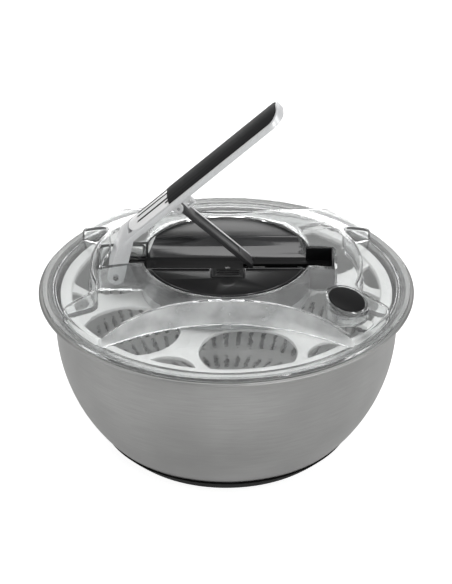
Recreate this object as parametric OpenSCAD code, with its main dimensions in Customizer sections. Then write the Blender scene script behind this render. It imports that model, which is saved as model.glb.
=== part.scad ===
// Pump-lever salad spinner: steel bowl, slotted basket, clear lid with the drive inside.
// Millimetres. Z = 0 is the table, the bowl's axis is the Z axis, the brake button is at the front right.
// Lid sizes are heights above the bowl's lip, so each lid module starts with at_lip().

/* [Bowl] */
// Outer radius of the bowl at its widest
bowl_r = 122.5; // [121:0.5:126]
// Height of the lip's top above the table
rim_z = 121; // [116:1:130]
// Depth below the lip where the bowl is widest
bowl_belly = 26; // [22:1:32]
// Thickness of the bowl's sheet
bowl_wall = 1; // [0.8:0.1:1.3]
// Radius of the curve from the wall out to the lip
flare_r = 7; // [6:0.5:8]
// Reach of the lip past the widest wall
lip_reach = 11.5; // [11:0.5:14]
// Radius of the rolled bead along the lip's edge
bead_r = 1.4; // [1:0.1:1.8]
// Height of the centring stud pressed up from the bowl's floor
stud_h = 11; // [10:0.5:11.5]

/* [Non-slip base] */
// Thickness of the rubber under the bowl
boot_floor = 3; // [2:0.5:4]
// Height of the rubber rim up the bowl's side
boot_h = 12; // [8:1:16]
// Thickness of the rubber rim
boot_wall = 1; // [0.8:0.1:1.6]
// Outer radius of the ring that meets the table
foot_r = 76; // [70:1:77]

/* [Basket] */
// Gap between the basket's wall and the bowl
basket_gap = 5.5; // [4:0.5:7]
// Thickness of the basket's wall
basket_wall = 2; // [1.6:0.1:2.4]
// Gap between the basket's floor and the bowl's floor
basket_lift = 9; // [8.5:0.5:12]
// Slots around each row of the basket's wall
wall_slots = 36; // [24:4:44]
// Width of a basket slot
slot_w = 4; // [3:0.5:5]
// Height of each row of slots in the basket's wall
row_h = 20; // [16:1:26]

/* [Basket cover] */
// Depth of the cover's ring below the bowl's lip
ring_drop = 3.5; // [3:0.5:5]
// Width of the cover's outer ring
ring_w = 8; // [6:0.5:9]
// Thickness of the cover's plate
cover_t = 2.5; // [2:0.1:3]
// Radius of the cover's large round openings
port_r = 34; // [30:1:36]
// Distance of the large openings from the axis
port_pitch = 86; // [84:0.5:88]
// Radius of the openings that end at the ring
vent_r = 19; // [16:0.5:20]
// How far those openings reach inwards from the ring
vent_reach = 13.5; // [10:0.5:15]

/* [Lid] */
// Thickness of the clear lid
lid_wall = 2.2; // [1.8:0.1:2.6]
// Height of the lid's flat top above the lip
dome_top = 25; // [24.6:0.1:27]
// Fall of the dome from its flat top to the lid's outer wall
dome_fall = 15.15; // [12:0.05:17]
// Distance of the lid's outer wall past the bowl's widest radius
side_out = 2.5; // [2:0.1:2.9]
// Rounding along the outer top edge of the lid
edge_r = 5; // [3:0.5:6]
// Radius of the hollow in front, seen from above
front_scoop_r = 150; // [140:2:160]
// Radius of the hollow behind, seen from above
back_scoop_r = 115; // [105:2:125]
// Distance of the front hollow's wall from the axis
front_scoop_y = 64; // [63.6:0.2:66]
// Distance of the back hollow's wall from the axis
back_scoop_y = 66; // [64:0.5:68]
// Depth of each side grip, from the lid's outer wall
grip_depth = 28; // [26:0.5:29]
// Height of the lid's low windows beside the drum
window_z = 6; // [4:0.5:8]

/* [Drum and trough] */
// Outer radius of the black mechanism cover
drum_r = 59; // [58.6:0.1:59.2]
// Height of the cover's top above the lip
drum_top = 24; // [23.6:0.1:24.4]
// Thickness of the cover's walls
drum_wall = 2; // [1.6:0.1:2.2]
// Height of the trough's floor above the lip
trough_z = 14; // [13.8:0.1:14.2]
// Distance of the trough's front wall from the axis
trough_front = 18; // [17:0.5:19]

/* [Lever] */
// Distance of the lever's hinge from the axis
hinge_x = 78; // [77:0.5:79]
// Height of the lever's hinge above the lip
hinge_z = 12.5; // [12:0.25:13]
// Offset of the lever's centre plane from the axis
lever_y = 4; // [3.5:0.25:4.5]
// Angle of the raised lever
lever_angle = 42; // [38:0.5:44]
// Length of the lever from its hinge to its tip
lever_l = 170; // [150:1:180]
// Width of the lever
lever_w = 30; // [28:0.5:31]
// Thickness of the lever
lever_t = 7; // [6:0.5:8]
// Height of the lowered lever's underside above its hinge
lever_rise = 13.2; // [13:0.1:14]
// Width of the lever's side rails
rail_w = 4; // [3:0.5:5]
// Radius of the lever's top across its width
lever_crown = 37.5; // [34:0.5:60]
// Place where the bright panel ends and the soft grip begins
panel_end = 62; // [50:1:80]
// Radius of the lever's hinge pin
hinge_pin_r = 2; // [1.6:0.1:2.2]

/* [Link and rack] */
// Distance of the link's upper pin from the lever's hinge
crank_l = 68; // [67:0.5:69]
// Height of the link's upper pin above the lever's hinge, lever lowered
crank_h = 9; // [8.6:0.2:9.2]
// Width of the link
link_w = 14; // [12:0.5:14]
// Thickness of the link
link_t = 3; // [2.4:0.2:3.4]
// Place of the link's lower pin with the lever raised
foot_x = 17; // [16.5:0.25:17.5]
// Height of the link's lower pin above the lip
foot_z = 9; // [8.9:0.05:9.1]
// Radius of the link's two pins
link_pin_r = 1.2; // [1:0.1:1.3]
// Free length of the rack's pin slot
lost_motion = 7.9; // [7.8:0.1:9]
// Thickness of the rack
rack_t = 4.9; // [4.4:0.1:5]

/* [Gears] */
// Module of the gear teeth
tooth_m = 1; // [1:1:1]
// Teeth on the pinion that the rack turns
pinion_n = 12; // [12:1:12]
// Teeth on the wheel above the pinion's shaft
wheel_n = 38; // [36:2:38]
// Teeth on the gear that turns the basket
drive_n = 20; // [20:2:22]
// Thickness of the wheel and of the drive gear
gear_t = 4.4; // [4:0.1:4.6]
// Play between meshing teeth
backlash = 0.3; // [0.2:0.05:0.4]

/* [Brake] */
// Radius of the brake button
button_r = 12.8; // [11:0.2:13]
// Distance of the brake button's centre inside the lid's outer wall
brake_inset = 25; // [24:0.5:26]
// Travel of the brake button
brake_travel = 4.5; // [3:0.25:5]

/* [Fits] */
// Gap between parts that move past each other
gap = 0.3; // [0.25:0.01:0.35]
// Radial play of a pin in its hole
pin_fit = 0.06; // [0.03:0.01:0.09]

/* [Hidden] */
$fn = 96;
far = 200;                                   // longer than any piece, for cuts

// Bowl
belly_z = rim_z - bowl_belly;
lip_r = bowl_r + lip_reach;
bowl_floor = boot_floor + bowl_wall;
stud_r = 6;
stud_foot = 2;
stud_lead = 1.5;

// Basket and its cover
basket_r = bowl_r - bowl_wall - basket_gap;
basket_floor = bowl_floor + basket_lift;
cover_r = bowl_r - bowl_wall - 3;
upper_row = belly_z - 32;
lower_row = basket_floor + basket_wall + 6;
floor_slot_in = stud_r + 28;
slot_in = floor_slot_in + 36;
floor_slot_out = floor_slot_in + 32;
ring_top = -ring_drop;
plate_top = ring_top - 2;
plate_z = plate_top - cover_t;
basket_top = rim_z + plate_z - gap;
port_count = 6;
port_start = 40;
hub_r = 37;

// Lid
lid_base = gap;
side_r = bowl_r + side_out;
grip_r = side_r - grip_depth;
brake_r = side_r - brake_inset;
skirt_r = side_r - 1.6;
skirt_t = 2;
lid_rim_r = lip_r - 2.6;
well_r = drum_r + gap;
well_wall = 1.8;
well_bottom = -1.2;
grip_from = -23;
grip_to = 31;
grip_fillet = 9;
dome_flat = 60;
dome_run = side_r - dome_flat;
dome_curve = (pow(dome_run, 2) + pow(dome_fall, 2)) / (2 * dome_fall);
slope = asin((brake_r - dome_flat) / dome_curve);
edge_x = side_r - edge_r;
edge_z = dome_top - dome_curve + sqrt(pow(dome_curve - edge_r, 2) - pow(edge_x - dome_flat, 2));
edge_a = atan2(edge_z - dome_top + dome_curve, edge_x - dome_flat);

// Trough: flat floor, upright front wall, and a back wall that curves up to the cover's top
trough_flat = 9;
trough_back = 30;
trough_rise = drum_top - trough_z;
trough_curve = (pow(trough_back - trough_flat, 2) + pow(trough_rise, 2)) / (2 * trough_rise);
trough_sweep = asin((trough_back - trough_flat) / trough_curve);
floor_under = trough_z - drum_wall;
bay_front = 14;
bay_back = 12;
bay_wall = 1.2;
bay_low = 5;
bay_top = 23.4;

// Lever pocket in the lid
pocket_gap = 0.6;
pocket_front = lever_y - lever_w / 2 - pocket_gap;
pocket_back = lever_y + lever_w / 2 + pocket_gap;
pocket_left = -90;
pocket_right = -57.6;
pocket_floor = 1.5;
boss_r = 6;
neck_l = 29;
lug_t = 2.5;
block_top = 16.2;

// Slider-crank: the lever's pin, the link and the rack's travel follow from the lengths above
crank_reach = norm([crank_l, crank_h]);
crank_lift = atan2(crank_h, crank_l);
function crank_at(a) = [
    -hinge_x + crank_reach * cos(a + crank_lift),
    hinge_z + crank_reach * sin(a + crank_lift)
];
upper_rest = crank_at(lever_angle);
upper_low = crank_at(0);
link_l = norm([foot_x - upper_rest[0], foot_z - upper_rest[1]]);
link_angle = atan2(upper_rest[1] - foot_z, foot_x - upper_rest[0]);
rack_travel = upper_low[0] + sqrt(pow(link_l, 2) - pow(upper_low[1] - foot_z, 2)) - foot_x;
fork_wall = 1.4;
clevis_end = foot_x + lost_motion + link_pin_r + fork_wall;
bay_end = clevis_end + rack_travel + gap + bay_wall;
bay_skin = 1.6;
link_offset = 6;
tongue_w = 4;
floor_slot_w = tongue_w + 1;
slot_from = foot_x - 5;
slot_to = foot_x + rack_travel + 4.5;

// Gears
pinion_r = tooth_m * pinion_n / 2;
wheel_r = tooth_m * wheel_n / 2;
drive_r = tooth_m * drive_n / 2;
shaft_y = -(wheel_r + drive_r);
gear_z = 1.8;
pinion_z = gear_z + gear_t;
rack_top = floor_under - gap;
rack_z = rack_top - rack_t;
rack_line = shaft_y + pinion_r;
rack_back = rack_line + 7;
rack_reach = sqrt(pow(drum_r - drum_wall - 2 * gap, 2) - pow(rack_line - tooth_m, 2));
clevis_half = tongue_w / 2 + gap + 2.7;
web_x = -12;
shaft_r = 2.5;
shaft_top = floor_under;

// One-way clutch between the drive gear and the hub
race_r = drive_r - 3.2;
core_r = race_r - gap;
roller_r = 1.2;
roller_count = 3;
pocket_play = 0.12;
spindle_r = 5;
bush_r = 8;
housing_t = 2;
housing_z = well_bottom;
housing_top = housing_z + housing_t;
hub_top = housing_z - 0.6;
clip_z = gear_z + gear_t - 1;

// Brake
brake_a = -33.4;
brake_x = brake_r * cos(brake_a);
brake_y = brake_r * sin(brake_a);
brake_top = dome_top - dome_curve + sqrt(pow(dome_curve, 2) - pow(brake_r - dome_flat, 2)) + 1.6;
tube_wall = 1.8;
tube_floor = 6;
tube_floor_t = 1.4;
button_h = 8.05;
button_z = brake_top - button_h;
brake_coil_r = 9.2;
plunger_r = 6;
pad_t = 1.7;
pad_reach = cover_r - ring_w / 2 - brake_r;
pad_z = ring_top + gap + brake_travel;

// Lever lock
lock_x = 1;
lock_w = 22.6;
lock_l = 13;
lock_travel = 6;
lock_t = 3;
lock_finger = 4;
catch_u = hinge_x + lock_x;
finger_t = 2.1;
finger_low = drum_top - lock_t - hinge_z;
catch_play = 0.6;
catch_low = finger_low - catch_play;
catch_wall = 1.4;

// Screws
post_r = 4;
post_pitch = 51;
screw_r = 1.5;
screw_l = 12;

// Points of an arc, from angle a0 to angle a1
function arc(cx, cy, r, a0, a1, n = 12) =
    [for (i = [0:n]) let(a = a0 + (a1 - a0) * i / n) [cx + r * cos(a), cy + r * sin(a)]];

module at_lip() translate([0, 0, rim_z]) children();

// Carries a flat outline in the Y-Z plane along X, from x0 to x1
module along_x(x0, x1) translate([x0, 0, 0]) rotate([90, 0, 90]) linear_extrude(x1 - x0) children();

// Carries a flat outline in the X-Z plane along Y, from y0 to y1
module along_y(y0, y1) translate([0, y1, 0]) rotate([90, 0, 0]) linear_extrude(y1 - y0) children();

module block(x0, x1, y0, y1, z0, z1) translate([x0, y0, z0]) cube([x1 - x0, y1 - y0, z1 - z0]);

module tube(r_out, r_in, z0, z1) translate([0, 0, z0]) difference() {
    cylinder(h = z1 - z0, r = r_out);
    translate([0, 0, -1]) cylinder(h = z1 - z0 + 2, r = r_in);
}

// Round wire wound as a helix about Z, swept as rings of 8 points, with a straight leg at each end
module coil(r, wire, z0, z1, turns, legs = [0, 0]) {
    sides = 8;
    rings = round(turns * 14);
    first = legs[0] > 0 ? -1 : 0;
    last = rings + (legs[1] > 0 ? 1 : 0);
    points = [for (i = [first:last]) for (j = [0:sides - 1])
        let(
            t = min(max(i, 0), rings) / rings,
            a = 360 * turns * t,
            leg = i < 0 ? -legs[0] : i > rings ? legs[1] : 0,
            b = 360 * j / sides,
            rr = r + wire * cos(b))
        [rr * cos(a) - leg * sin(a), rr * sin(a) + leg * cos(a), z0 + (z1 - z0) * t + wire * sin(b)]];
    skin = [for (i = [0:last - first - 1]) for (j = [0:sides - 1]) let(k = (j + 1) % sides)
        [i * sides + j, i * sides + k, (i + 1) * sides + k, (i + 1) * sides + j]];
    caps = [[for (j = [0:sides - 1]) sides - 1 - j], [for (j = [0:sides - 1]) (last - first) * sides + j]];
    polyhedron(points, concat(skin, caps));
}

// Involute gear outline: the flank is the path of a taut string's end unwound from the base circle
function unwind(rb, r) = let(t = sqrt(pow(r / rb, 2) - 1)) t * 180 / PI - atan(t);
function flank(rb, r0, r1, half, side, n = 5) =
    [for (i = [0:n]) let(r = r0 + (r1 - r0) * i / n, a = side * (half - unwind(rb, max(r, rb)))) [r, a]];
module gear_outline(teeth) {
    rp = tooth_m * teeth / 2;
    rb = rp * cos(20);
    root = rp - 1.2 * tooth_m;
    tip = rp + 0.95 * tooth_m;
    half = 90 / teeth + unwind(rb, rp) - backlash / 2 / rp * 180 / PI;
    rise = flank(rb, max(rb, root), tip, half, -1);
    fall = flank(rb, max(rb, root), tip, half, 1);
    polygon([for (k = [0:teeth - 1]) let(c = 360 * k / teeth)
        for (p = concat([[root, -half * 1.02]], rise,
            [for (i = [len(fall) - 1:-1:0]) fall[i]], [[root, half * 1.02]]))
            [p[0] * cos(c + p[1]), p[0] * sin(c + p[1])]]);
}

module bowl() color([0.72, 0.72, 0.73]) {
    foot = sqrt(pow(bowl_r, 2) - pow(belly_z - boot_floor, 2));
    foot_in = sqrt(pow(bowl_r - bowl_wall, 2) - pow(belly_z - bowl_floor, 2));
    flare_x = bowl_r + flare_r;
    flare_z = rim_z - bowl_wall - flare_r;
    flare_in = flare_r + bowl_wall;
    rotate_extrude() union() {
        polygon(concat(
            [[0, boot_floor], [foot, boot_floor]],
            arc(0, belly_z, bowl_r, -acos(foot / bowl_r), 0, 20),
            arc(flare_x, flare_z, flare_r, 180, 90, 8),
            [[lip_r - bead_r, rim_z - bowl_wall], [lip_r - bead_r, rim_z]],
            arc(flare_x, flare_z, flare_in, 90, 180, 8),
            arc(0, belly_z, bowl_r - bowl_wall, 0, -acos(foot_in / (bowl_r - bowl_wall)), 20),
            [[stud_r + stud_foot, bowl_floor], [stud_r, bowl_floor + stud_foot],
             [stud_r, bowl_floor + stud_h - stud_lead],
             [stud_r - stud_lead, bowl_floor + stud_h], [0, bowl_floor + stud_h]]));
        translate([lip_r - bead_r, rim_z - bead_r]) circle(r = bead_r, $fn = 32);
    }
}

module non_slip_base() color([0.08, 0.08, 0.08]) {
    out_r = bowl_r + 0.1 + boot_wall;
    in_r = bowl_r + 0.1;
    foot = sqrt(pow(out_r, 2) - pow(belly_z - 2, 2));
    top_out = sqrt(pow(out_r, 2) - pow(belly_z - boot_h, 2));
    top_in = sqrt(pow(in_r, 2) - pow(belly_z - boot_h, 2));
    seat = sqrt(pow(in_r, 2) - pow(belly_z - boot_floor, 2));
    rotate_extrude() polygon(concat(
        [[0, 1], [foot_r - 12, 1], [foot_r - 12, 0], [foot_r, 0]],
        arc(0, belly_z, out_r, -acos(foot / out_r), -acos(top_out / out_r), 6),
        arc(0, belly_z, in_r, -acos(top_in / in_r), -acos(seat / in_r), 6),
        [[0, boot_floor]]));
}

// Round hollow-free form of the basket, its wall sunk by d: a ball below, upright above
module basket_mass(d, low) {
    intersection() {
        translate([0, 0, belly_z]) sphere(r = basket_r - d);
        translate([0, 0, low]) cylinder(h = belly_z - low, r = far);
    }
    translate([0, 0, belly_z - 0.01]) cylinder(h = basket_top - belly_z + 0.01 + d, r = basket_r - d);
}

module basket() color([0.86, 0.86, 0.86, 0.8]) {
    socket_r = stud_r + gap + basket_wall;
    socket_low = basket_floor - 1.5;
    socket_top = bowl_floor + stud_h + gap + 1.7;
    difference() {
        union() {
            difference() {
                basket_mass(0, basket_floor);
                basket_mass(basket_wall, basket_floor + basket_wall);
            }
            tube(cover_r - 1, basket_r - 1, basket_top - 3, basket_top);
            translate([0, 0, socket_low]) cylinder(h = socket_top - socket_low, r = socket_r);
        }
        translate([0, 0, bowl_floor]) cylinder(h = stud_h + gap, r = stud_r + gap);
        for (k = [0:wall_slots - 1]) rotate(360 / wall_slots * (k + 0.5)) {
            block(slot_in, far, -slot_w / 2, slot_w / 2, upper_row, upper_row + row_h);
            block(slot_in, far, -slot_w / 2, slot_w / 2, lower_row, lower_row + row_h);
        }
        for (k = [0:23]) rotate(15 * k) block(floor_slot_in, floor_slot_out, -slot_w / 2, slot_w / 2,
            basket_floor - 1, basket_floor + basket_wall + 1);
    }
}

module basket_cover() color([0.92, 0.92, 0.92, 0.9]) at_lip() {
    plate_r = cover_r - ring_w;
    difference() {
        translate([0, 0, plate_z]) cylinder(h = cover_t, r = plate_r + 1);
        for (k = [0:port_count - 1]) rotate(port_start + 60 * k) {
            translate([port_pitch, 0, plate_z - 1]) cylinder(h = 10, r = port_r);
            rotate(30) translate([plate_r - vent_reach + vent_r, 0, plate_z - 1])
                cylinder(h = 10, r = vent_r);
        }
        translate([0, 0, plate_z - 1]) cylinder(h = 10, r = spindle_r + gap);
    }
    tube(cover_r, plate_r, plate_z, ring_top);
}

// Pockets in the clutch core, each deeper toward one end, where a roller wedges or runs free
module clutch_pockets(play) for (k = [0:roller_count - 1]) rotate(360 / roller_count * k)
    translate([race_r - roller_r - 0.15, 0]) {
        circle(r = roller_r + play, $fn = 32);
        translate([0, -1.6]) circle(r = roller_r + play, $fn = 32);
        translate([-roller_r - play, -1.6]) square([2 * (roller_r + play) + 1, 1.6]);
    }

module drive_hub() color([0.9, 0.9, 0.9]) at_lip() {
    translate([0, 0, plate_top]) cylinder(h = hub_top - plate_top, r = hub_r);
    translate([0, 0, plate_z]) cylinder(h = cover_t + 1, r = spindle_r);
    difference() {
        union() {
            translate([0, 0, hub_top - 1]) cylinder(h = clip_z - hub_top + 1.9, r = spindle_r);
            translate([0, 0, gear_z]) cylinder(h = clip_z - gear_z - 0.1, r = core_r);
        }
        translate([0, 0, gear_z - 0.01]) linear_extrude(clip_z - gear_z - 0.09) clutch_pockets(pocket_play);
        translate([0, 0, clip_z]) tube(spindle_r + 1, spindle_r - 1, 0, 0.6);
    }
}

module hub_clip() color([0.55, 0.55, 0.57]) at_lip() difference() {
    tube(spindle_r + 1.2, spindle_r - 0.9, clip_z + 0.05, clip_z + 0.55);
    block(0, far, -2.5, 2.5, clip_z - 1, clip_z + 2);
}

module clutch_rollers() color([0.7, 0.7, 0.72]) at_lip() for (k = [0:roller_count - 1])
    rotate(360 / roller_count * k) translate([race_r - roller_r - 0.15, 0, gear_z + 0.1])
        cylinder(h = clip_z - gear_z - 0.3, r = roller_r, $fn = 32);

module drive_gear() color([0.82, 0.82, 0.8]) at_lip() translate([0, 0, gear_z]) difference() {
    linear_extrude(gear_t - 0.2) rotate(90 + 180 + 180 / drive_n) gear_outline(drive_n);
    translate([0, 0, -1]) cylinder(h = gear_t + 2, r = race_r);
}

module compound_gear() color([0.82, 0.82, 0.8]) at_lip() translate([0, shaft_y, 0]) difference() {
    union() {
        translate([0, 0, gear_z]) linear_extrude(gear_t) rotate(90) gear_outline(wheel_n);
        translate([0, 0, pinion_z]) linear_extrude(rack_top - pinion_z) rotate(90) gear_outline(pinion_n);
    }
    cylinder(h = far, r = shaft_r + pin_fit, center = true);
}

module gear_shaft() color([0.6, 0.6, 0.62]) at_lip() translate([0, shaft_y, housing_z + 0.4])
    cylinder(h = shaft_top - housing_z - 0.4, r = shaft_r);

// Flat bar with rack teeth along its front edge, and a fork at its right end for the link's pin
module rack_slider() color([0.75, 0.75, 0.74]) at_lip() {
    pitch = PI * tooth_m;
    slant = tan(20) * tooth_m;
    half = pitch / 4 - backlash / 4;
    bar_end = rack_reach - rack_travel - gap;
    first = ceil((-rack_reach + 1) / pitch - 0.5);
    last = floor((bar_end - 1) / pitch - 0.5);
    difference() {
        translate([0, 0, rack_z]) linear_extrude(rack_t) {
            translate([-rack_reach, rack_line + 1.25 * tooth_m])
                square([rack_reach + bar_end, rack_back - rack_line - 1.25 * tooth_m]);
            translate([web_x, rack_back - 1])
                square([bar_end - web_x, lever_y + clevis_half - rack_back + 1]);
            translate([web_x, lever_y - clevis_half]) square([clevis_end - web_x, 2 * clevis_half]);
            for (k = [first:last]) translate([(k + 0.5) * pitch, rack_line]) polygon([
                [-half - 1.3 * slant, 1.3 * tooth_m], [-half + 0.95 * slant, -0.95 * tooth_m],
                [half - 0.95 * slant, -0.95 * tooth_m], [half + 1.3 * slant, 1.3 * tooth_m]]);
        }
        // The fork's gap lets the link's tongue swing between two cheeks
        block(foot_x - 7, far, lever_y - tongue_w / 2 - gap, lever_y + tongue_w / 2 + gap, rack_z - 1, far);
        // The pin's slot
        along_y(-far, far) {
            translate([foot_x, foot_z]) circle(r = link_pin_r + gap, $fn = 32);
            translate([foot_x + lost_motion, foot_z]) circle(r = link_pin_r + gap, $fn = 32);
            translate([foot_x, foot_z - link_pin_r - gap]) square([lost_motion, 2 * (link_pin_r + gap)]);
        }
    }
}

module post_places() for (a = [45:90:315]) rotate(a) translate([post_pitch, 0, 0]) children();

// Pan that closes the drum from below and carries the shafts
module gear_housing() color([0.85, 0.85, 0.86, 0.7]) at_lip() difference() {
    union() {
        translate([0, 0, housing_z]) cylinder(h = housing_t, r = drum_r);
        translate([0, shaft_y, housing_z]) cylinder(h = gear_z - gap - housing_z, r = shaft_r + 2.5);
        tube(drum_r, drum_r - drum_wall, housing_z, bay_low - gap);
        tube(bush_r + 2, bush_r, housing_z, gear_z - gap);
    }
    translate([0, shaft_y, housing_z + 0.4]) cylinder(h = far, r = shaft_r);
    translate([0, 0, housing_z - 1]) cylinder(h = far, r = bush_r);
    post_places() translate([0, 0, housing_z - 1]) {
        cylinder(h = far, r = screw_r + 0.3);
        cylinder(h = 1.9, r = screw_r + 1.7);
    }
}

module hub_bush() color([0.75, 0.68, 0.5]) at_lip()
    tube(bush_r, spindle_r + pin_fit, housing_z - 0.3, gear_z - gap);

module housing_screws() color([0.5, 0.5, 0.52]) at_lip() post_places() {
    translate([0, 0, housing_z]) cylinder(h = 0.9, r = screw_r + 1.5);
    translate([0, 0, housing_z + 0.5]) cylinder(h = screw_l, r = screw_r);
}

// Outline of the trough in the Y-Z plane, grown outward by d
module trough_outline(d) polygon(concat(
    [[-trough_front - d, far], [-trough_front - d, trough_z - d]],
    arc(trough_flat, trough_z + trough_curve, trough_curve + d, -90, trough_sweep - 90),
    [[trough_back + d, drum_top], [trough_back + d, far]]));

module mechanism_cover() color([0.1, 0.1, 0.1]) at_lip() difference() {
    union() {
        intersection() {
            union() {
                translate([0, 0, drum_top - drum_wall]) cylinder(h = drum_wall, r = drum_r);
                tube(drum_r, drum_r - drum_wall, bay_low, drum_top);
                along_x(-far, far) intersection() {
                    trough_outline(drum_wall);
                    translate([-far, 0]) square([2 * far, drum_top]);
                }
                post_places() translate([0, 0, housing_top])
                    cylinder(h = drum_top - housing_top - 1, r = post_r);
            }
            cylinder(h = drum_top, r = drum_r);
        }
        // Right bay, where the rack's end runs out past the drum
        block(drum_r - 4, bay_end, -bay_front - bay_wall, bay_back + bay_wall, bay_low, bay_top);
        // Rails that hold the rack from behind and below
        for (s = [-1, 1]) translate([s * 34, 0, 0]) {
            block(-20, 20, lever_y + clevis_half + gap, lever_y + clevis_half + gap + 1.6,
                rack_z - 1.4, trough_z - 1);
            block(-20, 20, lever_y + clevis_half - 1.6, lever_y + clevis_half + gap + 1,
                rack_z - 1.4, rack_z - gap);
        }
    }
    along_x(-far, drum_r - 2) trough_outline(0);
    block(0, bay_end - bay_wall, -bay_front, bay_back, trough_z, far);
    block(drum_r - 8, bay_end - bay_wall, -bay_front, bay_back, -far, floor_under);
    // Slot that the link's tongue runs along
    block(slot_from, slot_to, lever_y - floor_slot_w / 2, lever_y + floor_slot_w / 2, 0, far);
    // Window for the lever's lock, and the finger dish in front of it
    block(lock_x - lock_w / 2 - gap, lock_x + lock_w / 2 + gap,
        -trough_front - lock_l - gap, -trough_front + 1, drum_top - lock_t - gap, far);
    translate([lock_x, -trough_front - lock_l - 6, drum_top + 19]) sphere(r = 20);
    post_places() cylinder(h = screw_l + 2, r = screw_r);
}

// Solid outlines of the lid seen from the side, sunk by t: the low windows and the high dome
module low_outline(t) polygon([[0, t > 0 ? -far : lid_base], [side_r - t, t > 0 ? -far : lid_base],
    [side_r - t, lid_base + lid_wall - t], [drum_r + 4, window_z - t], [0, window_z - t]]);
module high_outline(t) polygon(concat(
    [[0, t > 0 ? -far : lid_base], [side_r - t, t > 0 ? -far : lid_base]],
    arc(edge_x, edge_z, edge_r - t, 0, edge_a, 6),
    arc(dome_flat, dome_top - dome_curve, dome_curve - t, edge_a, 90, 12),
    [[0, dome_top - t]]));

// Side grip seen from above, grown by t: a sector outside grip_r with rounded inner corners
module grip_plan(t) {
    in_a = asin(grip_fillet / (grip_r + grip_fillet));
    c0 = grip_from + in_a;
    c1 = grip_to - in_a;
    rc = grip_r + grip_fillet;
    polygon(concat(
        [far * [cos(grip_from), sin(grip_from)] + t * [sin(grip_from), -cos(grip_from)]],
        arc(rc * cos(c0), rc * sin(c0), grip_fillet + t, grip_from - 90, c0 - 180, 6),
        arc(0, 0, grip_r - t, c0, c1, 12),
        arc(rc * cos(c1), rc * sin(c1), grip_fillet + t, c1 + 180, grip_to + 90, 6),
        [far * [cos(grip_to), sin(grip_to)] + t * [-sin(grip_to), cos(grip_to)]]));
}

module lid_mass(t) {
    rotate_extrude() low_outline(t);
    difference() {
        rotate_extrude() high_outline(t);
        translate([0, 0, -far]) linear_extrude(2 * far) {
            translate([0, -front_scoop_y - front_scoop_r]) circle(r = front_scoop_r + t, $fn = 200);
            translate([0, back_scoop_y + back_scoop_r]) circle(r = back_scoop_r + t, $fn = 200);
            grip_plan(t);
            mirror([1, 0]) grip_plan(t);
        }
    }
}

// Everything below the sloping plane that lies h above the brake's place
module below_slope(h) translate([brake_x, brake_y, h]) rotate([0, 0, brake_a]) rotate([0, slope, 0])
    translate([-40, -40, -80]) cube([80, 80, 80]);

module lid_shell() color([0.9, 0.93, 0.95, 0.35]) at_lip() difference() {
    flare_in = flare_r + bowl_wall;
    skirt_low = -flare_in + sqrt(pow(flare_in + gap, 2) - pow(bowl_r + flare_r - skirt_r, 2));
    union() {
        difference() {
            lid_mass(0);
            lid_mass(lid_wall);
        }
        tube(lid_rim_r, side_r - lid_wall, lid_base, lid_base + lid_wall);
        tube(skirt_r, skirt_r - skirt_t, skirt_low, lid_base + lid_wall);
        tube(well_r + well_wall, well_r, well_bottom, dome_top - 1);
        // Pocket that carries the lever's hinge
        block(pocket_left - lid_wall, pocket_right, pocket_front - lid_wall, pocket_back + lid_wall,
            pocket_floor, dome_top - 2);
        // Walls round the bay
        block(drum_r, bay_end + gap + bay_skin, -bay_front - bay_wall - gap - bay_skin,
            bay_back + bay_wall + gap + bay_skin, bay_low - gap, dome_top - 3);
        // Tube that guides the brake button
        intersection() {
            translate([brake_x, brake_y, tube_floor]) cylinder(h = 40, r = button_r + gap + tube_wall);
            below_slope(brake_top - 0.8);
        }
    }
    translate([0, 0, well_bottom - 1]) cylinder(h = far, r = well_r);
    block(0, bay_end + gap, -bay_front - bay_wall - gap, bay_back + bay_wall + gap, bay_low - gap, far);
    difference() {
        block(pocket_left, pocket_right + 3, pocket_front, pocket_back, pocket_floor + lid_wall, far);
        // Block that stays in the pocket between the lever's two cheeks
        block(-73, pocket_right + 1.2, pocket_front + rail_w + 1.6, pocket_back - rail_w - 1.6,
            0, block_top - 3);
    }
    along_y(pocket_front - 9, pocket_back + 9) translate([-hinge_x, hinge_z])
        circle(r = hinge_pin_r + pin_fit, $fn = 48);
    translate([brake_x, brake_y, tube_floor + tube_floor_t]) cylinder(h = 60, r = button_r + gap);
    translate([brake_x, brake_y, -far]) cylinder(h = 2 * far, r = plunger_r + gap);
}

// Places lever pieces, which are drawn lowered with the hinge at the origin, in the raised position
module raised() at_lip() translate([-hinge_x, lever_y, hinge_z]) rotate([0, -lever_angle, 0]) children();

// The lever seen from above, with a round tip, shrunk by d
module lever_plan(u0, d) {
    tip_r = 11;
    translate([u0, -lever_w / 2 + d]) square([lever_l - tip_r - u0, lever_w - 2 * d]);
    for (s = [-1, 1]) translate([lever_l - tip_r, s * (lever_w / 2 - tip_r)])
        circle(r = tip_r - d, $fn = 48);
    translate([lever_l - tip_r - 1, -lever_w / 2 + tip_r]) square([tip_r + 1 - d, lever_w - 2 * tip_r]);
}

// What is left of a lever piece under a top that is curved across, z high along the middle
module crowned(z) intersection() {
    children();
    translate([-far, 0, z - lever_crown]) rotate([0, 90, 0]) cylinder(h = 2 * far, r = lever_crown);
}

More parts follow.
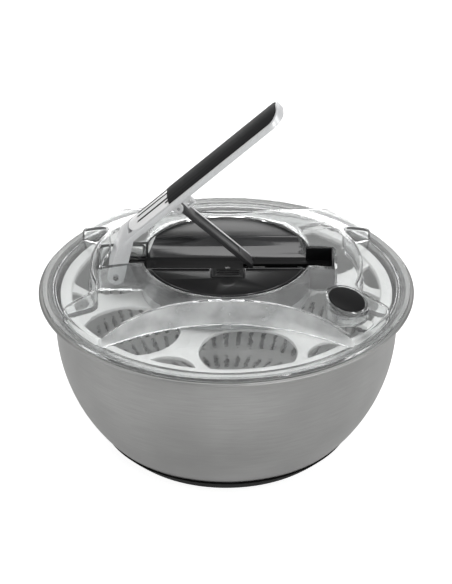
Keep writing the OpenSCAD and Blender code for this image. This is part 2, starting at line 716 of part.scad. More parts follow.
module lever_frame() color([0.8, 0.82, 0.84, 0.8]) raised() crowned(lever_rise + lever_t) {
    top = lever_rise + lever_t;
    // Tray: floor and rails around the lever's edge
    difference() {
        translate([0, 0, lever_rise]) linear_extrude(lever_t) lever_plan(neck_l - 4, 0);
        translate([0, 0, lever_rise + 2]) linear_extrude(lever_t) lever_plan(neck_l, rail_w);
    }
    // Neck: two cheeks down to the hinge with a web across the top
    difference() {
        along_y(-lever_w / 2, lever_w / 2) polygon(concat(
            arc(0, 0, boss_r, 120, 300, 12),
            [[neck_l, lever_rise], [neck_l, top], [neck_l - 4, top], [neck_l - 12, top - 4]]));
        along_y(-lever_w / 2 + rail_w, lever_w / 2 - rail_w) polygon([
            [-far, -far], [neck_l + 10, -far], [neck_l, lever_rise - 1], [neck_l - 4, lever_rise + 1.5],
            [neck_l - 12, top - 7], [-boss_r, 0.5], [-far, 0.5]]);
        along_y(-far, far) circle(r = hinge_pin_r + pin_fit, $fn = 48);
    }
    // Ears for the link's upper pin
    for (s = [-1, 1]) difference() {
        y0 = s * (link_w / 2 + gap) + (s < 0 ? -lug_t : 0);
        along_y(y0, y0 + lug_t) translate([crank_l, 0]) {
            translate([0, crank_h]) circle(r = 3.4, $fn = 48);
            translate([-3.4, crank_h]) square([6.8, lever_rise + 0.5 - crank_h]);
        }
        along_y(-far, far) translate([crank_l, crank_h]) circle(r = link_pin_r, $fn = 32);
    }
    // Catch that the lock's finger enters
    difference() {
        block(catch_u - 3.6, catch_u + 3.6, -lever_w / 2 + 0.3, -lever_w / 2 + 3.1,
            catch_low - catch_wall, lever_rise + 0.5);
        block(catch_u - lock_finger / 2 - catch_play, catch_u + lock_finger / 2 + catch_play, -far, 0,
            catch_low, finger_low + finger_t + catch_play);
    }
}

// Bright ribbed panel in the lower third of the lever's tray
module lever_panel() color([0.78, 0.78, 0.8]) raised() crowned(lever_rise + lever_t) difference() {
    top = lever_rise + lever_t;
    block(neck_l + 0.1, panel_end, -lever_w / 2 + rail_w + 0.1, lever_w / 2 - rail_w - 0.1,
        lever_rise + 2, far);
    for (k = [-1.5:1:1.5]) block(0, far, 5 * k - 0.6, 5 * k + 0.6, top - 2.2, far);
}

module lever_grip() color([0.06, 0.06, 0.06]) raised() crowned(lever_rise + lever_t + 0.4) intersection() {
    translate([0, 0, lever_rise + 2]) linear_extrude(lever_t) lever_plan(0, rail_w + 0.1);
    block(panel_end + 0.1, far, -far, far, 0, far);
}

module lever_pin() color([0.6, 0.6, 0.62]) at_lip() along_y(pocket_front - lid_wall, pocket_back + lid_wall)
    translate([-hinge_x, hinge_z]) circle(r = hinge_pin_r, $fn = 48);

// Torsion spring around the hinge pin, with one leg under the neck's web and one on the pocket's floor
module lever_spring() color([0.5, 0.5, 0.52]) at_lip()
translate([-hinge_x, lever_y - 6, hinge_z]) rotate([-90, 0, 0])
    coil(hinge_pin_r + 0.75, 0.4, 0, 12, 7, [15, 8]);

// Strap with an eye at the lever and a thin tongue that hooks down to its lower pin
module push_link() color([0.16, 0.16, 0.16]) at_lip() translate([upper_rest[0], lever_y, upper_rest[1]])
rotate([0, link_angle, 0]) difference() {
    strap_l = link_l - 6;
    tilt = atan(link_offset / strap_l);
    union() {
        along_y(-link_w / 2, link_w / 2) {
            circle(r = 3.2, $fn = 48);
            rotate(tilt) translate([0, -link_t / 2]) square([norm([strap_l, link_offset]), link_t]);
        }
        along_y(-tongue_w / 2, tongue_w / 2) {
            translate([link_l, 0]) circle(r = 2.4, $fn = 48);
            polygon([[strap_l - 8, link_offset - 1], [strap_l - 3, link_offset - 2],
                [link_l - 2.4, 0], [link_l + 2.4, 0],
                [strap_l + 2, link_offset + 0.6], [strap_l, link_offset + 1]]);
        }
    }
    along_y(-far, far) circle(r = link_pin_r + pin_fit, $fn = 32);
    along_y(-far, far) translate([link_l, 0]) circle(r = link_pin_r, $fn = 32);
    // Shallow recess along the strap's upper face
    along_y(-link_w / 2 + 3, link_w / 2 - 3) rotate(tilt)
        translate([14, link_t / 2 - 0.8]) square([strap_l - 26, 2]);
}

module link_upper_pin() color([0.6, 0.6, 0.62]) raised()
    along_y(-link_w / 2 - gap - lug_t, link_w / 2 + gap + lug_t)
        translate([crank_l, crank_h]) circle(r = link_pin_r, $fn = 32);

module link_lower_pin() color([0.6, 0.6, 0.62]) at_lip()
    along_y(lever_y - clevis_half, lever_y + clevis_half)
        translate([foot_x, foot_z]) circle(r = link_pin_r, $fn = 32);

// Sliding lock: a pad flush with the cover's top and a finger that reaches into the trough
module lever_lock() color([0.12, 0.12, 0.12]) at_lip() {
    difference() {
        block(lock_x - lock_w / 2, lock_x + lock_w / 2, -trough_front - lock_l, -trough_front - 0.2,
            drum_top - lock_t, drum_top + 0.3);
        for (k = [0:2]) block(lock_x - 8, lock_x + 8,
            -trough_front - 3 - 2.5 * k - 0.9, -trough_front - 3 - 2.5 * k, drum_top - 0.5, far);
    }
    block(lock_x - lock_finger / 2, lock_x + lock_finger / 2, -trough_front - 3, -trough_front + 4.4,
        drum_top - lock_t, drum_top - lock_t + finger_t);
}

module brake_button() color([0.07, 0.07, 0.07]) at_lip() intersection() {
    translate([brake_x, brake_y, button_z]) cylinder(h = 40, r = button_r);
    below_slope(brake_top);
}

module brake_plunger() color([0.9, 0.9, 0.9])
at_lip() translate([brake_x, brake_y, pad_z + pad_t]) rotate([0, 0, brake_a]) {
    cylinder(h = button_z - pad_z - pad_t, r = plunger_r);
    block(-1, pad_reach + 4, -4, 4, 0.3, 2.5);
    block(plunger_r - 1, pad_reach + 4, -4, 4, 0, 1);
}

module brake_pad() color([0.15, 0.15, 0.15])
    at_lip() translate([brake_x, brake_y, 0]) rotate([0, 0, brake_a])
    block(pad_reach - 3.4, pad_reach + 3.4, -6, 6, pad_z, pad_z + pad_t);

module brake_spring() color([0.6, 0.6, 0.62]) at_lip() translate([brake_x, brake_y, 0])
    coil(brake_coil_r, 0.5, tube_floor + tube_floor_t + 0.5, button_z - 0.5, 3);

bowl();
non_slip_base();
basket();
basket_cover();
drive_hub();
hub_clip();
clutch_rollers();
drive_gear();
compound_gear();
gear_shaft();
rack_slider();
gear_housing();
hub_bush();
housing_screws();
mechanism_cover();
lid_shell();
lever_frame();
lever_panel();
lever_grip();
lever_pin();
lever_spring();
push_link();
link_upper_pin();
link_lower_pin();
lever_lock();
brake_button();
brake_plunger();
brake_pad();
brake_spring();
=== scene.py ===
# A pump-lever salad spinner, built as it is put together: bowl and rubber base, basket and its cover,
# the drive, the clear lid around it, the lever with its link, the brake, then the studio.
import math

import bpy
from mathutils import Matrix, Vector


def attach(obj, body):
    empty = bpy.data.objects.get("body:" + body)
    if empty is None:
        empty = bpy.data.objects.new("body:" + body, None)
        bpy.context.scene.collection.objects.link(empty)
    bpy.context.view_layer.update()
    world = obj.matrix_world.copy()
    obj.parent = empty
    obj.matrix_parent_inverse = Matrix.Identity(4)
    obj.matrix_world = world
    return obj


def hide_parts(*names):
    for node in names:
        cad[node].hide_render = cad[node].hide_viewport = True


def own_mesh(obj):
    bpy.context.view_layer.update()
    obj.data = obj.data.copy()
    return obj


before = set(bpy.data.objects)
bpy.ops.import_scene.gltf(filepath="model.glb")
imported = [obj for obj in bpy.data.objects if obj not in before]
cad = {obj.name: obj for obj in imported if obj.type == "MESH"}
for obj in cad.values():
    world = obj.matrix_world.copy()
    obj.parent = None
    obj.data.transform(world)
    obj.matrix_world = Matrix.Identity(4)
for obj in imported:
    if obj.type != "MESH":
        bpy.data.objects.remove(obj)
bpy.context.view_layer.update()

# ---- Steel bowl ----
# Spun from 1 mm stainless sheet, brushed round and round outside and polished inside. The wall turns out
# at the top into a flat lip with a bead rolled along its edge, and a stud is pressed up in the floor's
# middle, which the basket turns on.
mm = 0.001
LIP = 121.0  # height of the lip above the table; the lid's sizes count from it


def linear(code):
    """The linear colour of an sRGB hex value."""
    parts = [int(code[i : i + 2], 16) / 255 for i in (1, 3, 5)]
    return [*(c / 12.92 if c <= 0.04045 else ((c + 0.055) / 1.055) ** 2.4 for c in parts), 1.0]


def add(owner, kind, inputs, **settings):
    """Adds a node to a material or the world; each input takes a value or another node's output."""
    n = owner.node_tree.nodes.new(kind)
    for key, value in settings.items():
        setattr(n, key, value)
    for key, value in inputs.items():
        if isinstance(value, bpy.types.NodeSocket):
            owner.node_tree.links.new(value, n.inputs[key])
        else:
            n.inputs[key].default_value = value
    return n


def finish(name, colour, values):
    """A new material, its shader and the object's own coordinates. Where a node also drives a value, the
    one given here is its rough mean."""
    m = bpy.data.materials.new(name)
    m.use_nodes = True
    shader = m.node_tree.nodes["Principled BSDF"]
    shader.inputs["Base Color"].default_value = linear(colour)
    for key, value in values.items():
        shader.inputs[key].default_value = value
    return m, shader, add(m, "ShaderNodeTexCoord", {}).outputs["Object"]


def wear(piece, material):
    """Gives the piece this material and no other."""
    piece.data.materials.clear()
    piece.data.materials.append(material)


def deselect():
    """Leaves edit mode, with nothing selected."""
    if bpy.context.object and bpy.context.object.mode != "OBJECT":
        bpy.ops.object.mode_set(mode="OBJECT")
    bpy.ops.object.select_all(action="DESELECT")


def choose(piece, mode="OBJECT"):
    """Makes this piece the one that the next step works on, all of it selected in edit mode."""
    deselect()
    piece.select_set(True)
    bpy.context.view_layer.objects.active = piece
    bpy.ops.object.mode_set(mode=mode)
    if mode == "EDIT":
        bpy.ops.mesh.select_all(action="SELECT")


def arc(cx, cz, r, a0, a1, n):
    """Points of an arc in the X-Z plane, in mm, from angle a0 to a1 in degrees."""
    turns = [math.radians(a0 + (a1 - a0) * i / n) for i in range(n + 1)]
    return [(cx + r * math.cos(a), 0, cz + r * math.sin(a)) for a in turns]


def draw(name, points):
    """Starts a piece as one point and extrudes it from point to point, in mm."""
    deselect()
    bpy.ops.mesh.primitive_plane_add(size=mm)
    piece = bpy.context.object
    piece.name = piece.data.name = name
    bpy.ops.object.mode_set(mode="EDIT")
    bpy.ops.mesh.select_mode(type="VERT")
    bpy.ops.mesh.merge(type="CENTER")
    here = Vector()
    for i, p in enumerate(points):
        there = Vector(p) * mm
        if i == 0:
            bpy.ops.transform.translate(value=there)
        else:
            bpy.ops.mesh.extrude_vertices_move(TRANSFORM_OT_translate={"value": there - here})
        here = there
    return piece


def spin(piece, steps):
    """Turns the drawn profile once round the axis, joins the seam and points the faces outward."""
    bpy.ops.mesh.select_all(action="SELECT")
    bpy.ops.mesh.spin(steps=steps, angle=math.tau, center=(0, 0, 0), axis=(0, 0, 1))
    bpy.ops.mesh.select_all(action="SELECT")
    bpy.ops.mesh.remove_doubles(threshold=2e-6)
    bpy.ops.mesh.normals_make_consistent(inside=False)
    bpy.ops.object.mode_set(mode="OBJECT")


def smooth(piece, angle=32):
    """Shades the piece smooth, but for edges that turn by more than the angle."""
    choose(piece)
    bpy.ops.object.shade_smooth_by_angle(angle=math.radians(angle))


BOWL_R, BELLY_Z, FLARE, SHEET = 122.5, 95.0, 7.0, 1.0
FLARE_X, FLARE_Z = BOWL_R + FLARE, LIP - SHEET - FLARE
LIP_R, BEAD = 134.0, 1.4
# The polish, and the painted shade in its darker colour, run up to this radius on the lip.
POLISH_AND_SHADE_R = 127.6  # the polish inside runs up to here on the lip


def ball_angle(r, z):
    """Angle below level at which a ball of radius r round the bowl's centre comes down to height z."""
    return -math.degrees(math.asin((BELLY_Z - z) / r))


bowl = draw("bowl_steel", [
    (0, 0, 3), (40, 0, 3), (78, 0, 3),
    *arc(0, BELLY_Z, BOWL_R, ball_angle(BOWL_R, 3.2), 0, 26),
    *arc(FLARE_X, FLARE_Z, FLARE, 180, 90, 8)[1:],
    *arc(LIP_R - BEAD, LIP - BEAD, BEAD, 215, 450, 12),
    *arc(FLARE_X, FLARE_Z, FLARE + SHEET, 90, 180, 8),
    *arc(0, BELLY_Z, BOWL_R - SHEET, 0, ball_angle(BOWL_R - SHEET, 4.2), 26)[1:],
    (76, 0, 4), (9, 0, 4), (7.4, 0, 4.3), (6.3, 0, 5.2), (6, 0, 6), (6, 0, 13.5), (5.6, 0, 14.4),
    (4.5, 0, 15), (0, 0, 15),
])
spin(bowl, 160)
smooth(bowl, 40)
# 304 stainless, brushed with a fine belt while the bowl turns: the scratches are 0.1 mm apart, drawn as
# bands of about 1 mm so that they show, and they pull each reflection out up and down the wall.
SCRATCH_TURN = 0.0045  # metres of pattern to a radian, so a scratch is 27 times as long as it is wide
steel, shader, place = finish("brushed_stainless_304", "#9b9b9a",
                              {"Metallic": 1.0, "Roughness": 0.4, "Anisotropic": 0.8})
apart = add(steel, "ShaderNodeSeparateXYZ", {0: place})
angle = add(steel, "ShaderNodeMath", {0: apart.outputs["Y"], 1: apart.outputs["X"]}, operation="ARCTAN2")
flat = add(steel, "ShaderNodeCombineXYZ", {"X": apart.outputs["X"], "Y": apart.outputs["Y"]})
radius = add(steel, "ShaderNodeVectorMath", {0: flat.outputs[0]}, operation="LENGTH")
along = add(steel, "ShaderNodeMath", {0: apart.outputs["Z"], 1: radius.outputs["Value"]},
            operation="SUBTRACT")
around = add(steel, "ShaderNodeMath", {0: angle.outputs[0], 1: SCRATCH_TURN}, operation="MULTIPLY")
brush_line = add(steel, "ShaderNodeCombineXYZ", {"X": along.outputs[0], "Y": around.outputs[0]})
scratches = add(steel, "ShaderNodeTexNoise",
                {"Vector": brush_line.outputs[0], "Scale": 1 / 0.0011, "Detail": 5.0, "Roughness": 0.7})
patches = add(steel, "ShaderNodeTexNoise", {"Vector": place, "Scale": 1 / 0.06, "Detail": 2.0})
rough = add(steel, "ShaderNodeMapRange", {"Value": scratches.outputs["Fac"], "From Min": 0.3, "From Max": 0.7,
                                          "To Min": 0.33, "To Max": 0.46})
steel.node_tree.links.new(rough.outputs[0], shader.inputs["Roughness"])
worn = add(steel, "ShaderNodeMath", {0: scratches.outputs["Fac"], 1: patches.outputs["Fac"]},
           operation="MULTIPLY")
tone = add(steel, "ShaderNodeMix", {0: worn.outputs[0], 6: linear("#8c8c8b"), 7: linear("#cbcbca")},
           data_type="RGBA")
steel.node_tree.links.new(tone.outputs[2], shader.inputs["Base Color"])
bump = add(steel, "ShaderNodeBump",
           {"Height": scratches.outputs["Fac"], "Strength": 0.10, "Distance": 0.00015})
steel.node_tree.links.new(bump.outputs[0], shader.inputs["Normal"])
wear(bowl, steel)
# The inside and the lip's inner half are polished, not brushed, so they mirror the gap beside the basket;
# their colour is also darker than the brushed steel's, a painted shade of that gap. Water marks 20 mm
# wide change their tone and gloss a little.
polished_steel_painted_shade, shader, place = finish("polished_stainless_304_painted_shade", "#7d7d7c",
                                       {"Metallic": 1.0, "Roughness": 0.18})
smears = add(polished_steel_painted_shade, "ShaderNodeTexNoise", {"Vector": place, "Scale": 1 / 0.02, "Detail": 3.0})
tone = add(polished_steel_painted_shade, "ShaderNodeMix",
           {0: smears.outputs["Fac"], 6: linear("#6c6c6b"), 7: linear("#8e8e8d")}, data_type="RGBA")
polished_steel_painted_shade.node_tree.links.new(tone.outputs[2], shader.inputs["Base Color"])
rough = add(polished_steel_painted_shade, "ShaderNodeMapRange",
            {"Value": smears.outputs["Fac"], "To Min": 0.12, "To Max": 0.26})
polished_steel_painted_shade.node_tree.links.new(rough.outputs[0], shader.inputs["Roughness"])
bowl.data.materials.append(polished_steel_painted_shade)
# Faces that look inward within that radius take the polished steel with its painted shade.
for face in bowl.data.polygons:
    across = math.hypot(face.center.x, face.center.y)
    outward = (face.center.x * face.normal.x + face.center.y * face.normal.y) / max(across, 1e-6)
    if outward < 0.1 and face.normal.z > -0.9 and across < POLISH_AND_SHADE_R * mm:
        face.material_index = 1
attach(bowl, "bowl")
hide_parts("bowl")

# ---- Non-slip base ----
# A cup of black rubber that the bowl stands in, 1 mm thick up the side and stuck on. A low ring under
# it meets the table, and the top edge shows as a thin dark line round the steel.
BOOT_OUT, BOOT_IN, BOOT_TOP = BOWL_R + 1.1, BOWL_R + 0.1, 12.0
boot = draw("rubber_base", [
    (0, 0, 1), (63.2, 0, 1), (64, 0, 0.7), (64, 0, 0.2), (64.4, 0, 0), (75.4, 0, 0), (76.4, 0, 0.15),
    *arc(0, BELLY_Z, BOOT_OUT, ball_angle(BOOT_OUT, 1.5), ball_angle(BOOT_OUT, BOOT_TOP - 0.3), 8),
    *arc(0, BELLY_Z, BOOT_IN, ball_angle(BOOT_IN, BOOT_TOP), ball_angle(BOOT_IN, 3.0), 8),
    (0, 0, 3),
])
spin(boot, 160)
smooth(boot, 40)
# Moulded nitrile rubber: matt black, with a fine grain of 0.4 mm from the blasted mould.
rubber, shader, place = finish("moulded_black_rubber", "#0b0b0b",
                               {"Roughness": 0.72, "Specular IOR Level": 0.15})
grain = add(rubber, "ShaderNodeTexNoise", {"Vector": place, "Scale": 1 / 0.0004, "Detail": 3.0})
bump = add(rubber, "ShaderNodeBump", {"Height": grain.outputs["Fac"], "Strength": 0.25, "Distance": 0.0001})
rubber.node_tree.links.new(bump.outputs[0], shader.inputs["Normal"])
dust = add(rubber, "ShaderNodeMapRange", {"Value": grain.outputs["Fac"], "To Min": 0.6, "To Max": 0.85})
rubber.node_tree.links.new(dust.outputs[0], shader.inputs["Roughness"])
wear(boot, rubber)
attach(boot, "bowl")
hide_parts("non_slip_base")

# ---- Basket ----
# Moulded in one piece from milky polypropylene, 2 mm thick: round like the bowl, with a flange that the
# cover sits on, three rows of upright slots in the wall and two rings of slots in the floor. A socket in
# its middle turns on the bowl's stud.
BASKET_R, BASKET_TOP, BASKET_FLOOR = 116.0, 112.7, 13.0


def cut(piece, tool, operation="DIFFERENCE"):
    """Cuts a tool from a piece, or joins it on, and takes the tool away."""
    choose(piece)
    step = piece.modifiers.new("cut", "BOOLEAN")
    step.operation, step.solver, step.object = operation, "MANIFOLD", tool
    bpy.ops.object.modifier_apply(modifier=step.name)
    bpy.data.objects.remove(tool)


def bevel(piece, width, segments=2, angle=35):
    """Rounds the edges that turn by more than the angle, width in mm."""
    choose(piece)
    step = piece.modifiers.new("bevel", "BEVEL")
    step.width, step.segments = width * mm, segments
    step.limit_method, step.angle_limit = "ANGLE", math.radians(angle)
    bpy.ops.object.modifier_apply(modifier=step.name)


def block(name, low, high, edge=0.0, segments=3, upright=False):
    """A block between two corners in mm, its edges, or only its upright ones, rounded by edge."""
    deselect()
    low, high = Vector(low), Vector(high)
    bpy.ops.mesh.primitive_cube_add(size=1, location=(low + high) / 2 * mm, scale=(high - low) * mm)
    piece = bpy.context.object
    piece.name = piece.data.name = name
    bpy.ops.object.transform_apply()
    if edge:
        bpy.ops.object.mode_set(mode="EDIT")
        if upright:
            bpy.ops.mesh.select_all(action="DESELECT")
            bpy.ops.object.mode_set(mode="OBJECT")
            for e in piece.data.edges:
                a, b = (piece.data.vertices[i].co for i in e.vertices)
                e.select = abs(a.z - b.z) > 1e-5
            bpy.ops.object.mode_set(mode="EDIT")
            bpy.ops.mesh.select_mode(type="EDGE")
        bpy.ops.mesh.bevel(offset=edge * mm, segments=segments)
        bpy.ops.object.mode_set(mode="OBJECT")
    return piece


def copied_round(piece, count, first=0.0):
    """Copies a piece round the axis, each copy with its own mesh, and joins them."""
    pieces = []
    for k in range(count):
        c = piece.copy()
        c.data = piece.data.copy()
        c.data.transform(Matrix.Rotation(math.radians(first + 360 * k / count), 4, "Z"))
        bpy.context.collection.objects.link(c)
        pieces.append(c)
    bpy.data.objects.remove(piece)
    deselect()
    for c in pieces:
        c.select_set(True)
    bpy.context.view_layer.objects.active = pieces[0]
    bpy.ops.object.join()
    return bpy.context.object


inside_r = BASKET_R - 2
basket = draw("basket_moulding", [
    (0, 0, 15.4), (5.9, 0, 15.4), (6.35, 0, 15), (6.35, 0, 11.9), (6.8, 0, 11.5), (7.9, 0, 11.5),
    (8.3, 0, 11.9), (8.3, 0, 12.6), (8.9, 0, BASKET_FLOOR), (60, 0, BASKET_FLOOR),
    *arc(0, BELLY_Z, BASKET_R, ball_angle(BASKET_R, BASKET_FLOOR), 0, 24),
    (BASKET_R, 0, BASKET_TOP - 3), (118, 0, BASKET_TOP - 2.8), (118.4, 0, BASKET_TOP - 2.2),
    (118.4, 0, BASKET_TOP - 0.4), (118, 0, BASKET_TOP), (inside_r + 0.4, 0, BASKET_TOP),
    (inside_r, 0, BASKET_TOP - 0.4),
    *arc(0, BELLY_Z, inside_r, 0, ball_angle(inside_r, 16), 24),
    (77.5, 0, 15.1), (74, 0, 15), (8.9, 0, 15), (8.3, 0, 15.4), (8.3, 0, 16.6), (7.9, 0, 17), (0, 0, 17),
])
spin(basket, 180)
# Each row: the near and the far corner of one slot, its rounding, how many, and the first one's angle
for near, far, rounding, in_floor, count, first in (
        ((60, -1.7, 17), (130, 1.7, 33), 1.6, False, 60, 0),
        ((80, -1.9, 42), (130, 1.9, 58), 1.8, False, 72, 2.5),
        ((90, -1.9, 66), (130, 1.9, 84), 1.8, False, 72, 0),
        ((56, -1.6, 10), (76, 1.6, 18), 1.5, True, 54, 3),
        ((26, -1.6, 10), (46, 1.6, 18), 1.5, True, 27, 3)):
    cut(basket, copied_round(block("slot", near, far, rounding, 2, in_floor), count, first))
smooth(basket)
# Polypropylene, unfilled: milky and waxy, it lets light through and scatters it, so it is bright even in
# the bowl's shade. The mould's fine sparks leave a faint mottle 1 mm wide in its gloss.
milky, shader, place = finish("milky_polypropylene", "#d9d9d8", {
    "Roughness": 0.42, "IOR": 1.49, "Subsurface Weight": 0.25, "Subsurface Radius": (0.004, 0.004, 0.004),
    "Subsurface Scale": 1.0})
mottle = add(milky, "ShaderNodeTexNoise", {"Vector": place, "Scale": 1 / 0.001, "Detail": 2.0})
cloud = add(milky, "ShaderNodeTexNoise", {"Vector": place, "Scale": 1 / 0.03, "Detail": 2.0})
tone = add(milky, "ShaderNodeMix", {0: cloud.outputs["Fac"], 6: linear("#cfcfce"), 7: linear("#dededd")},
           data_type="RGBA")
milky.node_tree.links.new(tone.outputs[2], shader.inputs["Base Color"])
wax = add(milky, "ShaderNodeMapRange", {"Value": mottle.outputs["Fac"], "To Min": 0.34, "To Max": 0.52})
milky.node_tree.links.new(wax.outputs[0], shader.inputs["Roughness"])
# The basket wears a darker copy of the cover's polypropylene: painted shade for its inside under the cover,
# so it looks greyer than the cover, which is of the same polypropylene.
milky_painted_shade = milky.copy()
milky_painted_shade.name = "milky_polypropylene_painted_shade"
mix = next(n for n in milky_painted_shade.node_tree.nodes if n.type == "MIX")
# The darker tones are the painted shade.
mix.inputs[6].default_value, mix.inputs[7].default_value = linear("#a4a4a3"), linear("#babab9")
wear(basket, milky_painted_shade)
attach(basket, "basket")
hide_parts("basket")

# ---- Basket cover ----
# A milky polypropylene disc with a raised ring that rests on the basket's flange. Six large ports show the
# basket; each web between them forks round a second opening, and both kinds end at the ring's inner foot.
PLATE_Z, PLATE_TOP, RING_TOP, COVER_R, RING_FOOT_R = LIP - 8, LIP - 5.5, LIP - 3.5, 118.5, 109.9
cover = draw("basket_cover_moulding", [
    (5.3, 0, PLATE_Z), (37, 0, PLATE_Z), (108, 0, PLATE_Z), (117.7, 0, PLATE_Z), (118.3, 0, PLATE_Z + 0.2),
    (COVER_R, 0, PLATE_Z + 0.8), (COVER_R, 0, RING_TOP - 0.8), (118.3, 0, RING_TOP - 0.2),
    (117.7, 0, RING_TOP), (111.3, 0, RING_TOP), (110.7, 0, RING_TOP - 0.2), (110.4, 0, RING_TOP - 0.8),
    (110, 0, PLATE_TOP + 0.4), (109.2, 0, PLATE_TOP), (37, 0, PLATE_TOP), (5.3, 0, PLATE_TOP),
    (5.3, 0, PLATE_Z),
])
spin(cover, 180)


def upright_rod(name, r, x, z0, z1, steps):
    """An upright rod at x, from z0 to z1, all in mm."""
    deselect()
    bpy.ops.mesh.primitive_cylinder_add(vertices=steps, radius=r * mm, depth=(z1 - z0) * mm,
                                        location=(x * mm, 0, (z0 + z1) / 2 * mm))
    bpy.ops.object.transform_apply()
    bpy.context.object.name = name
    return bpy.context.object


for name, r, x, steps, first in (("port", 34, 86, 96, 40), ("vent", 19, 116, 72, 70)):
    tool = copied_round(upright_rod(name, r, x, PLATE_Z - 2, RING_TOP + 2, steps), 6, first)
    cut(tool, upright_rod("inside_ring", RING_FOOT_R, 0, PLATE_Z - 3, RING_TOP + 3, 180), "INTERSECT")
    cut(cover, tool)
bevel(cover, 0.5)
smooth(cover)
wear(cover, milky)
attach(cover, "rotor")
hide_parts("basket_cover")

# ---- Drive under the cover ----
# Hub, rack and gears are moulded acetal and run in the clear lid's middle: the lever's link pushes the
# rack, its teeth turn the small pinion, the wheel above it turns the drive gear, and rollers in wedge
# pockets carry that one way into the hub. Shaft, clip, screws and rollers are steel, the bush is bronze.

# Acetal: off-white and waxy, with faint flow marks 8 mm long.
acetal, shader, place = finish("moulded_acetal", "#d2d2cf", {"Roughness": 0.38, "IOR": 1.48})
flow = add(acetal, "ShaderNodeTexNoise",
           {"Vector": place, "Scale": 1 / 0.008, "Detail": 3.0, "Distortion": 0.6})
tone = add(acetal, "ShaderNodeMix", {0: flow.outputs["Fac"], 6: linear("#c6c6c3"), 7: linear("#dadad8")},
           data_type="RGBA")
acetal.node_tree.links.new(tone.outputs[2], shader.inputs["Base Color"])
# Ground steel: bright, its gloss broken by grit marks drawn 0.5 mm wide.
ground, shader, place = finish("ground_steel", "#a8a8a9", {"Metallic": 1.0, "Roughness": 0.25})
grit = add(ground, "ShaderNodeTexNoise", {"Vector": place, "Scale": 1 / 0.0005, "Detail": 3.0})
rough = add(ground, "ShaderNodeMapRange", {"Value": grit.outputs["Fac"], "To Min": 0.18, "To Max": 0.36})
ground.node_tree.links.new(rough.outputs[0], shader.inputs["Roughness"])
# Sintered bronze: matt and brown, with open pores drawn 0.6 mm wide so that they show.
bronze, shader, place = finish("sintered_bronze", "#a98a5a", {"Metallic": 1.0, "Roughness": 0.45})
pores = add(bronze, "ShaderNodeTexVoronoi", {"Vector": place, "Scale": 1 / 0.0006})
bump = add(bronze, "ShaderNodeBump",
           {"Height": pores.outputs["Distance"], "Strength": 0.3, "Distance": 0.0001})
bronze.node_tree.links.new(bump.outputs[0], shader.inputs["Normal"])
for name in ("drive_hub", "drive_gear", "compound_gear", "rack_slider", "brake_plunger"):
    cad[name].data.materials[0] = acetal
for name in ("hub_clip", "clutch_rollers", "gear_shaft", "housing_screws", "lever_pin", "link_upper_pin",
             "link_lower_pin", "lever_spring", "brake_spring"):
    cad[name].data.materials[0] = ground
cad["hub_bush"].data.materials[0] = bronze

# ---- Gear housing ----
# A pan of frosted styrene acrylonitrile that closes the drum from below, held by four screws. Its mould
# was blasted, so it blurs what is behind it, a little unevenly in specks 0.8 mm wide.
frosted, shader, place = finish("frosted_clear_plastic", "#e4e5e6",
                                {"Roughness": 0.35, "IOR": 1.56, "Transmission Weight": 0.6})
frost = add(frosted, "ShaderNodeTexNoise", {"Vector": place, "Scale": 1 / 0.0008, "Detail": 2.0})
rough = add(frosted, "ShaderNodeMapRange", {"Value": frost.outputs["Fac"], "To Min": 0.28, "To Max": 0.45})
frosted.node_tree.links.new(rough.outputs[0], shader.inputs["Roughness"])
cad["gear_housing"].data.materials[0] = frosted

# ---- Mechanism cover ----
# The black drum top, moulded from satin ABS, with a trough across it for the lowered lever, a slot in the
# trough's floor for the link, a window for the lock and a bay at the right where the rack runs out.


def refined(name, source, width, segments=2, angle=30):
    """A copy of a CAD piece with its loose triangles merged, flat faces joined and edges rounded."""
    piece = cad[source].copy()
    piece.data = cad[source].data.copy()
    for key in list(piece.keys()):
        del piece[key]
    piece.parent = None
    piece.matrix_world = Matrix.Identity(4)
    piece.name = piece.data.name = name
    bpy.context.collection.objects.link(piece)
    choose(piece, "EDIT")
    bpy.ops.mesh.remove_doubles(threshold=1e-5)
    bpy.ops.mesh.dissolve_limited(angle_limit=math.radians(1.0))
    bpy.ops.object.mode_set(mode="OBJECT")
    if width:
        bevel(piece, width, segments, angle)
    return piece


drum = refined("mechanism_cover_moulding", "mechanism_cover", 0.4)
smooth(drum, 30)
# Satin ABS: black with a soft sheen, from a spark-eroded mould; the grain is drawn 0.7 mm wide.
satin, shader, place = finish("satin_black_abs", "#111112",
                              {"Roughness": 0.3, "IOR": 1.53, "Specular IOR Level": 0.16})
spark = add(satin, "ShaderNodeTexNoise", {"Vector": place, "Scale": 1 / 0.0007, "Detail": 3.0})
bump = add(satin, "ShaderNodeBump", {"Height": spark.outputs["Fac"], "Strength": 0.06, "Distance": 0.0001})
satin.node_tree.links.new(bump.outputs[0], shader.inputs["Normal"])
rough = add(satin, "ShaderNodeMapRange", {"Value": spark.outputs["Fac"], "To Min": 0.24, "To Max": 0.36})
satin.node_tree.links.new(rough.outputs[0], shader.inputs["Roughness"])
wear(drum, satin)
# Polished ABS: the slope behind the trough and the drum's beads come from polished parts of the mould, and
# they glint. Wear in patches 4 mm wide dulls them here and there.
polished, shader, place = finish("polished_black_abs", "#18181a",
                                 {"Roughness": 0.14, "IOR": 1.53, "Specular IOR Level": 0.9})
worn = add(polished, "ShaderNodeTexNoise", {"Vector": place, "Scale": 1 / 0.004, "Detail": 2.0})
rough = add(polished, "ShaderNodeMapRange", {"Value": worn.outputs["Fac"], "To Min": 0.08, "To Max": 0.22})
polished.node_tree.links.new(rough.outputs[0], shader.inputs["Roughness"])
drum.data.materials.append(polished)
for face in drum.data.polygons:
    if face.normal.z > 0.3 and face.normal.y < -0.25 and face.center.y > -16 * mm:
        face.material_index = 1
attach(drum, "lid")
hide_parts("mechanism_cover")
